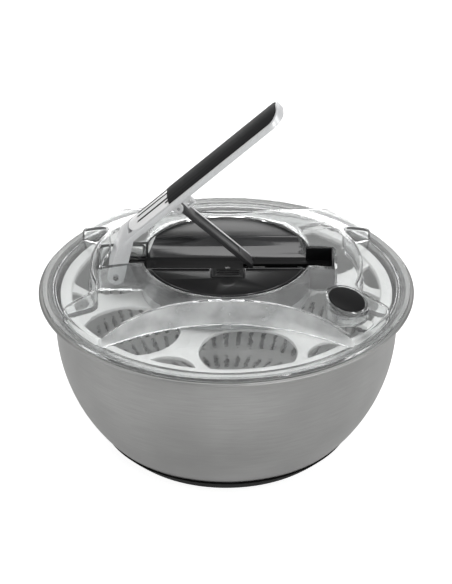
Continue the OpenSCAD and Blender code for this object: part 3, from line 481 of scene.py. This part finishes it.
# The beads are 0.8 mm wide: one just inside the drum's front rim, one along the trough's front edge, and
# one down each side of the lock's window.
BEAD_FOOT, BEAD_CREST, BEAD_W, TROUGH_FRONT = LIP + 23.8, LIP + 24.5, 0.8, -18.3
beads = draw("drum_beads", [
    (56, 0, BEAD_FOOT), (56, 0, LIP + 24.2), (56.2, 0, BEAD_CREST), (56.6, 0, BEAD_CREST),
    (56.8, 0, LIP + 24.2), (56.8, 0, BEAD_FOOT), (56, 0, BEAD_FOOT),
])
spin(beads, 160)
cut(beads, block("front_part", (-60, -60, LIP + 20), (60, -18.4, LIP + 30)), "INTERSECT")
for low_x, high_x in ((-53, -11.6), (13.6, 53)):
    bead = block("bead", (low_x, TROUGH_FRONT - BEAD_W, BEAD_FOOT), (high_x, TROUGH_FRONT, BEAD_CREST), 0.2)
    cut(beads, bead, "UNION")
for x in (-11.4, 12.6):
    bead = block("bead", (x, -31.5, BEAD_FOOT), (x + BEAD_W, TROUGH_FRONT, LIP + 24.4), 0.2)
    cut(beads, bead, "UNION")
smooth(beads, 40)
wear(beads, polished)
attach(beads, "lid")

# ---- Clear lid ----
# One moulding of clear styrene acrylonitrile, 2.2 mm thick: a dome round the drum, hollowed in front and
# behind and cut away at each side for the fingers, a low rim on the bowl's lip and a skirt inside it.
WALL, SIDE_R, WELL_R, RIM_R = 2.2, 125.0, 59.3, 131.4
DOME_TOP, DOME_FLAT_R, DOME_CURVE = 25, 60, 147
SHELF_HIGH, SHELF_FALL, SHELF_IN = 6, 3.5, 63
SKIRT_IN, SKIRT_FOOT = 121.4, -2.37


def dome(r):
    """Height of the dome above the lip, r from the axis: flat in the middle, then round."""
    return DOME_TOP - DOME_CURVE + math.sqrt(DOME_CURVE**2 - max(0, r - DOME_FLAT_R) ** 2)


def shelf(r):
    """Height of the low parts beside the dome, which fall gently outwards."""
    return SHELF_HIGH - SHELF_FALL * max(0, r - SHELF_IN) / (SIDE_R - SHELF_IN)


def polar(r, a, cx=0.0, cy=0.0):
    """The point at radius r and angle a, in degrees, round a centre."""
    return Vector((cx + r * math.cos(math.radians(a)), cy + r * math.sin(math.radians(a))))


def swept(r, a0, a1, cx=0.0, cy=0.0, step=1.2):
    """Points along an arc from a0 up to, but without, a1, one about every step."""
    n = max(2, int(abs(math.radians(a1 - a0)) * r / step))
    return [polar(r, a0 + (a1 - a0) * i / n, cx, cy) for i in range(n)]


# The dome's outline from above, right half, from the front round to the back, then mirrored. The round
# hollows in front and behind have their centres outside the lid. Each point is marked e where the dome
# runs out to an ear at the rim, and w where an upright wall bounds a low part.
FRONT_C, FRONT_R, BACK_C, BACK_R = -214.0, 150.0, 181.0, 115.0
front_end, back_end, grip_a, grip_b, grip_in = -46.68, 50.98, -23.0, 31.0, 97.0
fillet = 9.0
lean = math.degrees(math.asin(fillet / (grip_in + fillet)))
reach = (grip_in + fillet) * math.cos(math.radians(lean))
front_to = math.degrees(math.acos(SIDE_R * math.cos(math.radians(front_end)) / FRONT_R))
half = []
half += [(p, "w") for p in swept(FRONT_R, 90, front_to, 0, FRONT_C)]
half += [(p, "e") for p in swept(SIDE_R, front_end, grip_a)]
half += [(polar(SIDE_R + (reach - SIDE_R) * i / 16, grip_a), "w") for i in range(16)]
c = polar(grip_in + fillet, grip_a + lean)
half += [(p, "w") for p in swept(fillet, grip_a - 90, grip_a + lean - 180, *c, step=0.8)]
half += [(p, "w") for p in swept(grip_in, grip_a + lean, grip_b - lean)]
c = polar(grip_in + fillet, grip_b - lean)
half += [(p, "w") for p in swept(fillet, grip_b - lean + 180, grip_b + 90, *c, step=0.8)]
half += [(polar(reach + (SIDE_R - reach) * i / 16, grip_b), "w") for i in range(16)]
half += [(p, "e") for p in swept(SIDE_R, grip_b, back_end)]
back_from = math.degrees(math.asin((SIDE_R * math.sin(math.radians(back_end)) - BACK_C) / BACK_R))
half += [(p, "w") for p in swept(BACK_R, back_from, -90, 0, BACK_C)]
outline = half + [(Vector((0, BACK_C - BACK_R)), "w")]
outline += [(Vector((-p.x, p.y)), k) for p, k in reversed(half[1:])]
COLUMNS = len(outline)


def evened(values, reach, rounds=2):
    """A running mean round the closed outline."""
    near = range(-reach, reach + 1)
    for _ in range(rounds):
        values = [sum((values[(i + j) % COLUMNS] for j in near), values[0] * 0) / len(near)
                  for i in range(COLUMNS)]
    return values


def unwrapped(angles):
    """The same angles in radians, with no jump of a full turn."""
    out = [angles[0]]
    for a in angles[1:]:
        out.append(out[-1] + (a - out[-1] + math.pi) % math.tau - math.pi)
    return out


def evened_angles(angles, reach, rounds=2):
    """A running mean of angles that climb by one full turn round the outline."""
    near = range(-reach, reach + 1)
    for _ in range(rounds):
        angles = [sum(angles[(i + j) % COLUMNS] + math.tau * ((i + j) // COLUMNS) for j in near) / len(near)
                  for i in range(COLUMNS)]
    return angles


edge = evened([p for p, _ in outline], 2)
ear = evened([1.0 if k == "e" else 0.0 for _, k in outline], 2)
normal = []
for i in range(COLUMNS):
    t = (edge[(i + 1) % COLUMNS] - edge[i - 1]).normalized()
    normal.append(Vector((t.y, -t.x)))
at = unwrapped([math.atan2(p.y, p.x) for p, _ in outline])
inner = evened_angles(at, 7)
# Each window's outer edge is shared out evenly between the two corners where it meets the lid's wall
outer = list(at)
kinds = [k for _, k in outline]
starts = [i for i in range(COLUMNS) if kinds[i] == "w" and kinds[i - 1] == "e"]
for s in starts:
    n = 1
    while kinds[(s + n) % COLUMNS] == "w":
        n += 1
    a0 = at[s - 1] + (math.tau if s == 0 else 0)
    a1 = at[(s + n) % COLUMNS] + (math.tau if s + n >= COLUMNS else 0)
    for j in range(n):
        k = (s + j) % COLUMNS
        outer[k] = a0 + (a1 - a0) * (j + 1) / (n + 1) - (math.tau if s + j >= COLUMNS else 0)
outer = evened_angles(outer, 2)


def section(i):
    """One cut through the lid's wall at column i of the outline, as a closed ring of points in mm."""
    p, n, e = edge[i], normal[i], ear[i]
    u = Vector((math.cos(inner[i]), math.sin(inner[i])))
    v = Vector((math.cos(outer[i]), math.sin(outer[i])))
    pts = [(*(u * r), z) for r, z in ((WELL_R, -1.2), (WELL_R, 10), (WELL_R, DOME_TOP - 0.9),
                                      (WELL_R + 0.25, DOME_TOP - 0.25), (WELL_R + 0.9, DOME_TOP))]

    def side(t, rho, r_in, count):
        """The dome's surface sunk by t, from near the well out to the rounding of its edge, then that
        rounding, of radius rho."""

        def height(w):
            fall = max(0, w.length - DOME_FLAT_R)
            return DOME_TOP - DOME_CURVE + math.sqrt((DOME_CURVE - t) ** 2 - fall**2)

        c = p - n * t - n * rho
        slope = max(0.0, (c.length - DOME_FLAT_R)) / (DOME_CURVE - t) * max(0.0, c.normalized().dot(n))
        top = math.pi / 2 - math.asin(min(0.95, slope))
        edge_point = c + n * rho * math.cos(top)
        zc = height(edge_point) - rho * math.sin(top)
        ring = []
        for k in range(1, count + 1):
            w = (u * r_in).lerp(edge_point, k / count)
            ring.append((*w, height(w)))
        for k in range(1, 6):
            a = top * (1 - k / 5)
            ring.append((*(c + n * rho * math.cos(a)), zc + rho * math.sin(a)))
        return ring

    pts += side(0, 1.5 + 3.5 * e, WELL_R + 0.9, 9)
    foot = 1.6 * (1 - e)
    last = pts[-1][2]
    ground_z = shelf((p + n * foot).length)
    for k in (0.33, 0.66):
        pts.append((*p, last + (ground_z + foot - last) * k))
    for k in range(4):
        a = math.pi / 2 * k / 3
        w = p + n * foot * (1 - math.cos(a))
        pts.append((*w, ground_z + foot * (1 - math.sin(a))))
    start = p + n * foot
    for k in range(1, 7):
        w = start.lerp(v * SIDE_R, k / 6)
        pts.append((*w, min(ground_z, shelf(w.length))))
    for r, z in ((128, 2.5), (130.5, 2.5), (131.15, 2.25), (RIM_R, 1.6), (RIM_R, 0.8), (131.1, 0.3),
                 (127, 0.3), (123.7, 0.3), (123.4, 0.0), (123.4, -1.9), (123.0, SKIRT_FOOT),
                 (121.8, SKIRT_FOOT), (SKIRT_IN, -1.9), (SKIRT_IN, 0.45)):
        pts.append((*(v * r), z))
    corner = p - n * WALL
    for k in range(1, 5):
        w = (v * SKIRT_IN).lerp(corner, k / 4)
        pts.append((*w, shelf(w.length) - WALL + 0.05))
    inside = side(WALL, 0.5 + 2.3 * e, WELL_R + 1.8, 7)
    pts.append((*corner, (pts[-1][2] + inside[-1][2]) / 2))
    pts += list(reversed(inside))
    pts += [(*(u * r), z) for r, z in ((WELL_R + 1.8, 22.8), (WELL_R + 1.8, 10), (WELL_R + 1.8, -0.9),
                                       (WELL_R + 1.5, -1.2))]
    return pts


# A grid is laid over the rings, a column to each, and joined where it closes on itself
rings = [section(i) for i in range(COLUMNS)]
ROWS = len(rings[0])
deselect()
bpy.ops.mesh.primitive_grid_add(x_subdivisions=ROWS, y_subdivisions=COLUMNS, size=2)
lid = bpy.context.object
lid.name = lid.data.name = "lid_moulding"
for vert in lid.data.vertices:
    j, i = round((vert.co.x + 1) / 2 * ROWS), round((vert.co.y + 1) / 2 * COLUMNS)
    x, y, z = rings[i % COLUMNS][j % ROWS]
    vert.co = (x * mm, y * mm, (z + LIP) * mm)
choose(lid, "EDIT")
bpy.ops.mesh.remove_doubles(threshold=4e-5)
bpy.ops.mesh.dissolve_degenerate(threshold=1e-6)
bpy.ops.mesh.normals_make_consistent(inside=False)
bpy.ops.object.mode_set(mode="OBJECT")
# The lever's pocket, the clear walls round the trough's bay and the button's tube grow out of the dome.
BRAKE_R, BRAKE_TURN, BUTTON_R = 100, math.radians(-33.4), 12.8
BRAKE_X, BRAKE_Y = BRAKE_R * math.cos(BRAKE_TURN), BRAKE_R * math.sin(BRAKE_TURN)
SLOPE = math.asin((BRAKE_R - DOME_FLAT_R) / DOME_CURVE)
BRAKE_TOP = dome(BRAKE_R) + 1.6


def brake_rod(r, z0, z1, steps):
    """An upright rod on the brake's axis."""
    rod = upright_rod("brake_rod", r, 0, z0, z1, steps)
    rod.data.transform(Matrix.Translation((BRAKE_X * mm, BRAKE_Y * mm, 0)))
    return rod


def below_slope(height):
    """Everything under the plane that lies along the dome's slope, height above the brake's place."""
    deselect()
    bpy.ops.mesh.primitive_cube_add(size=80 * mm, location=(0, 0, -40 * mm))
    piece = bpy.context.object
    bpy.ops.object.transform_apply()
    piece.data.transform(Matrix.Translation((BRAKE_X * mm, BRAKE_Y * mm, (height + LIP) * mm))
                         @ Matrix.Rotation(BRAKE_TURN, 4, "Z") @ Matrix.Rotation(SLOPE, 4, "Y"))
    return piece


cut(lid, block("pocket", (-92.2, -13.8, LIP + 1.5), (-57.6, 21.8, LIP + 23), 3, 4, True), "UNION")
cut(lid, block("bay_walls", (59, -17.3, LIP + 4.7), (78.1, 15.1, LIP + 22.4), 3, 4, True), "UNION")
tube = brake_rod(BUTTON_R + 2.1, LIP + 6, LIP + 40, 96)
cut(tube, below_slope(BRAKE_TOP - 0.8), "INTERSECT")
cut(lid, tube, "UNION")
cut(lid, upright_rod("well", WELL_R, 0, LIP - 3, LIP + 40, 192))
cut(lid, block("bay_room", (0, -15.5, LIP + 4.7), (76.42, 13.5, LIP + 40), 2, 4, True))
cut(lid, block("pocket_room", (-90, -11.6, LIP + 3.7), (-54.6, 19.6, LIP + 60), 2, 4, True))
cut(lid, brake_rod(BUTTON_R + 0.3, LIP + 7.4, LIP + 60, 96))
cut(lid, brake_rod(6.3, LIP - 20, LIP + 60, 48))
smooth(lid, 30)
# Styrene acrylonitrile, polished in the mould: clear, a little milky in the thickness, with weak flow waves
# 12 mm long, wiping scratches that only change its gloss, and a sink of 0.1 mm here and there.
clear, shader, place = finish("clear_styrene_acrylonitrile", "#f8f9f9",
                              {"Roughness": 0.04, "IOR": 1.5, "Transmission Weight": 0.9})
waves = add(clear, "ShaderNodeTexNoise",
            {"Vector": place, "Scale": 1 / 0.012, "Detail": 2.0, "Distortion": 0.8})
wiped = add(clear, "ShaderNodeMapping", {"Vector": place, "Scale": (1, 0.06, 1)})
scuffs = add(clear, "ShaderNodeTexNoise", {"Vector": wiped.outputs[0], "Scale": 1 / 0.0006, "Detail": 3.0})
gloss = add(clear, "ShaderNodeMapRange", {"Value": scuffs.outputs["Fac"], "From Min": 0.45, "From Max": 0.75,
                                          "To Min": 0.025, "To Max": 0.10})
clear.node_tree.links.new(gloss.outputs[0], shader.inputs["Roughness"])
bump = add(clear, "ShaderNodeBump", {"Height": waves.outputs["Fac"], "Strength": 0.12, "Distance": 0.0006})
clear.node_tree.links.new(bump.outputs[0], shader.inputs["Normal"])
haze = add(clear, "ShaderNodeMapRange", {"Value": waves.outputs["Fac"], "From Min": 0.3, "From Max": 0.7,
                                         "To Min": 0.985, "To Max": 0.96})
clear.node_tree.links.new(haze.outputs[0], shader.inputs["Transmission Weight"])


def let_lamps_through(material, tint):
    """Shadow rays pass the material, dimmed by tint, so that the lamps reach what lies behind it."""
    tree = material.node_tree
    ray = add(material, "ShaderNodeLightPath", {})
    plain = tree.nodes["Principled BSDF"]
    open_way = add(material, "ShaderNodeBsdfTransparent", {"Color": linear(tint)})
    both = add(material, "ShaderNodeMixShader",
               {0: ray.outputs["Is Shadow Ray"], 1: plain.outputs[0], 2: open_way.outputs[0]})
    tree.links.new(both.outputs[0], tree.nodes["Material Output"].inputs["Surface"])


let_lamps_through(clear, "#eeefef")
let_lamps_through(frosted, "#d8d9d9")
# The upright wall of the front hollow was drawn out of a rougher mould face, so it is milky, and the more
# so in veils 20 mm wide.
milky_wall, shader, place = finish("milky_side_wall", "#eceded", {"Roughness": 0.2, "IOR": 1.5})
veil = add(milky_wall, "ShaderNodeTexNoise", {"Vector": place, "Scale": 1 / 0.02, "Detail": 3.0})
haze = add(milky_wall, "ShaderNodeMapRange", {"Value": veil.outputs["Fac"], "From Min": 0.3, "From Max": 0.7,
                                              "To Min": 0.78, "To Max": 0.56})
milky_wall.node_tree.links.new(haze.outputs[0], shader.inputs["Transmission Weight"])
let_lamps_through(milky_wall, "#dadbdb")
wear(lid, clear)
lid.data.materials.append(milky_wall)
for face in lid.data.polygons:
    middle = face.center / mm
    on_wall = abs(math.hypot(middle.x, middle.y - FRONT_C) - FRONT_R) < 3 and middle.y < -50
    if on_wall and abs(face.normal.z) < 0.35:
        face.material_index = 1
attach(lid, "lid")
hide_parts("lid_shell")

# ---- Hinge block ----
# The black block between the lever's cheeks, of the same ABS as the drum's top: it stands on the pocket's
# floor, low enough for the lever's web to pass, and four grooves are moulded across its top.
HINGE_X, HINGE_Y, HINGE_Z = -78, 4, LIP + 12.5
hinge_block = block("hinge_block", (-72.9, -5.9, LIP + 3.8), (-57.6, 13.9, LIP + 17.2), 0.8, 3)
for y in (-3.4, 0.9, 5.2, 9.5):
    cut(hinge_block, block("groove", (-80, y, LIP + 15.6), (-50, y + 1.7, LIP + 20), 0.3))
# Its outer face is hollowed round the lever's pin, to clear the lever.
deselect()
bpy.ops.mesh.primitive_cylinder_add(vertices=48, radius=6.6 * mm, depth=50 * mm,
                                    location=(HINGE_X * mm, 5 * mm, HINGE_Z * mm),
                                    rotation=(math.pi / 2, 0, 0))
bpy.ops.object.transform_apply()
cut(hinge_block, bpy.context.object)
smooth(hinge_block)
wear(hinge_block, satin)
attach(hinge_block, "lid")

# ---- Lever ----
# A tray of pearl-white polypropylene with two cheeks that turn on the steel pin. Its rim is 1.5 mm wide and
# stands round a bright panel and a black grip, which both lie on a ledge and follow the tray's crown.
LEVER_UP = math.radians(42)
RAISED = Matrix.Translation((HINGE_X * mm, HINGE_Y * mm, HINGE_Z * mm)) @ Matrix.Rotation(-LEVER_UP, 4, "Y")
LEVER_TOP, CROWN = 20.2, 37.5  # the crown's top above the pin, lever lowered, and its radius
INLAY_HALF, INLAY_Z = 13.3, 16.8  # half the width of panel and grip, and the height of their undersides
SEAM = 67  # distance from the pin to where the panel ends and the grip begins


def plate(name, u0, u1, half, r0, r1, z0, z1):
    """A plate in the lever's own frame, in mm: from u0 to u1 and half wide each way, its corners rounded
    by r0 and r1."""
    points = []
    for cx, cy, r, a in ((u1 - r1, half - r1, r1, 0), (u0 + r0, half - r0, r0, 90),
                         (u0 + r0, r0 - half, r0, 180), (u1 - r1, r1 - half, r1, 270)):
        points += [(*polar(r, a + 90 * k / 10, cx, cy), z0) for k in range(11)]
    piece = draw(name, points)
    bpy.ops.mesh.select_all(action="SELECT")
    bpy.ops.mesh.remove_doubles(threshold=1e-6)
    bpy.ops.mesh.edge_face_add()
    bpy.ops.mesh.extrude_region_move(TRANSFORM_OT_translate={"value": (0, 0, (z1 - z0) * mm)})
    bpy.ops.mesh.select_all(action="SELECT")
    bpy.ops.mesh.normals_make_consistent(inside=False)
    bpy.ops.object.mode_set(mode="OBJECT")
    return piece


def crown_bar(z):
    """What lies under a top curved across the lever, z high along the middle."""
    deselect()
    bpy.ops.mesh.primitive_cylinder_add(vertices=180, radius=CROWN * mm, depth=0.5,
                                        location=(0, 0, (z - CROWN) * mm), rotation=(0, math.pi / 2, 0))
    bpy.ops.object.transform_apply()
    return bpy.context.object


# Pearl polypropylene: white with a silky sheen, a little metallic, from flakes of mica, which are drawn
# 0.5 mm wide so that they show.
pearl, shader, place = finish("pearl_polypropylene", "#dcdddd", {
    "Roughness": 0.28, "IOR": 1.5, "Metallic": 0.25, "Subsurface Weight": 0.1,
    "Subsurface Radius": (0.002, 0.002, 0.002), "Subsurface Scale": 1.0})
flakes = add(pearl, "ShaderNodeTexVoronoi", {"Vector": place, "Scale": 1 / 0.0005})
tone = add(pearl, "ShaderNodeMix",
           {0: flakes.outputs["Distance"], 6: linear("#e4e5e6"), 7: linear("#cfd0d1")}, data_type="RGBA")
pearl.node_tree.links.new(tone.outputs[2], shader.inputs["Base Color"])
tray = refined("lever_tray", "lever_frame", 0)
ledge = plate("ledge", 30.2, 168.5, 13.5, 10, 9.5, 16.7, 40)
ledge.data.transform(RAISED)
cut(tray, ledge)
bevel(tray, 0.45, 3, 40)
smooth(tray, 30)
wear(tray, pearl)
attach(tray, "lever")
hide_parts("lever_frame")

# ---- Lever panel ----
# A strip of ABS faced with anodised aluminium foil, bright and silky; its brushing runs along the lever in
# bands 0.3 mm wide. It is glued on the tray's ledge. Its lower end is round, and three grooves run up it.
brushed, shader, place = finish("brushed_anodised_aluminium", "#fbfbfb", {"Metallic": 0.2, "Roughness": 0.2})
drawn = add(brushed, "ShaderNodeMapping",
            {"Vector": place, "Rotation": (0, LEVER_UP, 0), "Scale": (60, 1, 1)}, vector_type="TEXTURE")
lines = add(brushed, "ShaderNodeTexNoise", {"Vector": drawn.outputs[0], "Scale": 1 / 0.0003, "Detail": 3.0})
rough = add(brushed, "ShaderNodeMapRange", {"Value": lines.outputs["Fac"], "From Min": 0.3, "From Max": 0.7,
                                            "To Min": 0.12, "To Max": 0.3})
brushed.node_tree.links.new(rough.outputs[0], shader.inputs["Roughness"])
panel = plate("lever_panel_strip", 30.4, SEAM, INLAY_HALF, 9.8, 0.3, INLAY_Z, 40)
cut(panel, crown_bar(LEVER_TOP), "INTERSECT")
for y in (-7.2, -0.6, 6.0):
    for bottom in (19, 18.2):  # each groove is cut in two passes
        cut(panel, block("groove", (38, y, bottom), (80, y + 1.3, 30), 0.3))
bevel(panel, 0.25, 3)
panel.data.transform(RAISED)
smooth(panel, 30)
wear(panel, brushed)
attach(panel, "lever")
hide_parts("lever_panel")

# ---- Lever grip ----
# A pad of soft black elastomer moulded onto the tray above the panel. Ribs of it run down into the panel's
# grooves. It has a close matt grain of 0.5 mm and is glossier where hands rub it.
soft, shader, place = finish("soft_touch_elastomer", "#242425",
                             {"Roughness": 0.5, "IOR": 1.5, "Specular IOR Level": 0.12})
grain = add(soft, "ShaderNodeTexNoise", {"Vector": place, "Scale": 1 / 0.0005, "Detail": 3.0})
rubbed = add(soft, "ShaderNodeTexNoise", {"Vector": place, "Scale": 1 / 0.03, "Detail": 2.0})
rough = add(soft, "ShaderNodeMapRange", {"Value": rubbed.outputs["Fac"], "To Min": 0.42, "To Max": 0.6})
soft.node_tree.links.new(rough.outputs[0], shader.inputs["Roughness"])
bump = add(soft, "ShaderNodeBump", {"Height": grain.outputs["Fac"], "Strength": 0.15, "Distance": 0.0002})
soft.node_tree.links.new(bump.outputs[0], shader.inputs["Normal"])
grip = plate("lever_grip_pad", SEAM + 0.2, 168.3, INLAY_HALF, 0.3, 9.3, INLAY_Z, 40)
for y, end in ((-7.1, 39), (-0.5, 39), (6.1, 39), (-10.4, 64.5), (9.2, 65.5)):
    cut(grip, block("rib", (end, y, 18.3), (80, y + 1.1, 30), 0.3), "UNION")
cut(grip, crown_bar(LEVER_TOP + 0.35), "INTERSECT")
bevel(grip, 0.5, 3, 40)
grip.data.transform(RAISED)
smooth(grip, 30)
wear(grip, soft)
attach(grip, "lever")
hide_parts("lever_grip")

# ---- Link, lock and brake ----
# The link is a dark strap of glass-filled nylon; a pale, partly metallic stripe 2.4 mm wide along its right
# edge is a painted highlight of that edge. The lock and the brake's button are of the drum's black ABS,
# and the brake's pad is elastomer.
# The painted highlight along the link's right edge starts here.
HIGHLIGHT_Y = 8.5  # the stripe's inner edge
# Nylon: charcoal, with the swirls of its glass fibres 1.5 mm wide.
nylon_and_painted_highlight, shader, place = finish("glass_filled_nylon_painted_highlight", "#4a4a4b", {"Roughness": 0.34, "IOR": 1.53})
fibres = add(nylon_and_painted_highlight, "ShaderNodeTexNoise",
             {"Vector": place, "Scale": 1 / 0.0015, "Detail": 4.0, "Distortion": 1.5})
dark = add(nylon_and_painted_highlight, "ShaderNodeMix", {0: fibres.outputs["Fac"], 6: linear("#29292a"), 7: linear("#454546")},
           data_type="RGBA")
apart = add(nylon_and_painted_highlight, "ShaderNodeSeparateXYZ", {0: place})
# Beyond that line the colour turns pale and a little metallic: a painted highlight.
painted_highlight = add(nylon_and_painted_highlight, "ShaderNodeMapRange",
             {"Value": apart.outputs["Y"], "From Min": HIGHLIGHT_Y * mm, "From Max": (HIGHLIGHT_Y + 0.2) * mm})
tone = add(nylon_and_painted_highlight, "ShaderNodeMix", {0: painted_highlight.outputs[0], 6: dark.outputs[2], 7: linear("#e6e7e8")},
           data_type="RGBA")
nylon_and_painted_highlight.node_tree.links.new(tone.outputs[2], shader.inputs["Base Color"])
highlight_metallic = add(nylon_and_painted_highlight, "ShaderNodeMath", {0: painted_highlight.outputs[0], 1: 0.6}, operation="MULTIPLY")
nylon_and_painted_highlight.node_tree.links.new(highlight_metallic.outputs[0], shader.inputs["Metallic"])
for name, source, body, width, material in (("link_strap", "push_link", "link", 0.5, nylon_and_painted_highlight),
                                            ("lock_slide", "lever_lock", "lock", 0.35, satin),
                                            ("brake_button_cap", "brake_button", "brake", 1.0, satin)):
    piece = refined(name, source, width, 3)
    smooth(piece, 30)
    wear(piece, material)
    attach(piece, body)
    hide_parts(source)
cad["brake_pad"].data.materials[0] = soft
# The coil under the button is wound from 1 mm spring wire.
coil = refined("brake_coil", "brake_spring", 0)
smooth(coil, 60)
wear(coil, ground)
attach(coil, "lid")
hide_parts("brake_spring")
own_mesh(coil)

# ---- Studio ----
# A wide pale floor, a soft box overhead and one at each side, a strip in front and one behind for the
# edges, and the camera at the eye of someone at the worktop, looking down 30 degrees.
deselect()
bpy.ops.mesh.primitive_plane_add(size=12)
floor = bpy.context.object
floor.name = "studio_floor"
paper = bpy.data.materials.new("white_paper")
paper.use_nodes = True
shader = paper.node_tree.nodes["Principled BSDF"]
shader.inputs["Base Color"].default_value = linear("#bcbcbc")
shader.inputs["Roughness"].default_value = 0.9
# The floor and the sky are white where they are seen, straight or through the lid, and grey in mirrors,
# so that steel and black plastic keep their tone. The floor keeps its soft shadow.
MIRRORED = 0.4
rays = add(paper, "ShaderNodeLightPath", {})
seen = add(paper, "ShaderNodeMath",
           {0: rays.outputs["Is Camera Ray"], 1: rays.outputs["Is Transmission Ray"]},
           operation="MAXIMUM")
mirrored = add(paper, "ShaderNodeMath", {0: rays.outputs["Is Glossy Ray"], 1: MIRRORED}, operation="MULTIPLY")
glow = add(paper, "ShaderNodeMath", {0: seen.outputs[0], 1: 0.86, 2: mirrored.outputs[0]},
           operation="MULTIPLY_ADD")
shader.inputs["Emission Color"].default_value = (1, 1, 1, 1)
paper.node_tree.links.new(glow.outputs[0], shader.inputs["Emission Strength"])
floor.data.materials.append(paper)

world = bpy.data.worlds.new("studio")
bpy.context.scene.world = world
world.use_nodes = True
back = world.node_tree.nodes["Background"]
back.inputs["Color"].default_value = (1, 1, 1, 1)
rays = add(world, "ShaderNodeLightPath", {})
seen = add(world, "ShaderNodeMath",
           {0: rays.outputs["Is Camera Ray"], 1: rays.outputs["Is Transmission Ray"]},
           operation="MAXIMUM")
level = add(world, "ShaderNodeMapRange", {"Value": seen.outputs[0], "To Min": MIRRORED, "To Max": 1.0})
world.node_tree.links.new(level.outputs[0], back.inputs["Strength"])


def soft_box(name, place, aim, size, power):
    """A lamp with a flat face of this size in metres, turned to aim, its power in watts."""
    light = bpy.data.lights.new(name, "AREA")
    light.shape, light.size, light.size_y, light.energy = "RECTANGLE", size[0], size[1], power
    lamp = bpy.data.objects.new(name, light)
    bpy.context.collection.objects.link(lamp)
    lamp.location = place
    lamp.rotation_euler = (Vector(aim) - Vector(place)).to_track_quat("-Z", "Y").to_euler()


soft_box("overhead", (0.1, 0.2, 1.5), (0, 0, 0.1), (1.2, 1.2), 9.5)
soft_box("left", (-1.3, -0.5, 0.7), (0, 0, 0.1), (0.6, 1.0), 4)
soft_box("right", (1.3, -0.6, 0.7), (0, 0, 0.1), (0.6, 1.0), 5)
soft_box("front_strip", (0.62, -1.0, 0.3), (0, 0, 0.08), (0.14, 0.56), 3.5)
soft_box("back_strip", (0, 1.1, 0.3), (0, 0.12, 0.12), (1.1, 0.16), 2.2)

ELEVATION, DISTANCE = math.radians(29.74), 1.8
SENSOR, FOCAL, SHIFT = 36, 2518 / 584, (-0.33 / 584, -6.51 / 584)  # the last two in heights of the frame
lens = bpy.data.cameras.new("camera")
lens.sensor_fit, lens.sensor_height, lens.sensor_width = "VERTICAL", SENSOR, SENSOR
lens.lens = FOCAL * SENSOR
lens.shift_x, lens.shift_y = SHIFT
lens.clip_start, lens.clip_end = 0.05, 30
camera = bpy.data.objects.new("camera", lens)
bpy.context.collection.objects.link(camera)
camera.location = (0, -DISTANCE * math.cos(ELEVATION), LIP * mm + DISTANCE * math.sin(ELEVATION))
camera.rotation_euler = (math.pi / 2 - ELEVATION, 0, 0)
bpy.context.scene.camera = camera
bpy.context.scene.view_settings.view_transform = "Standard"
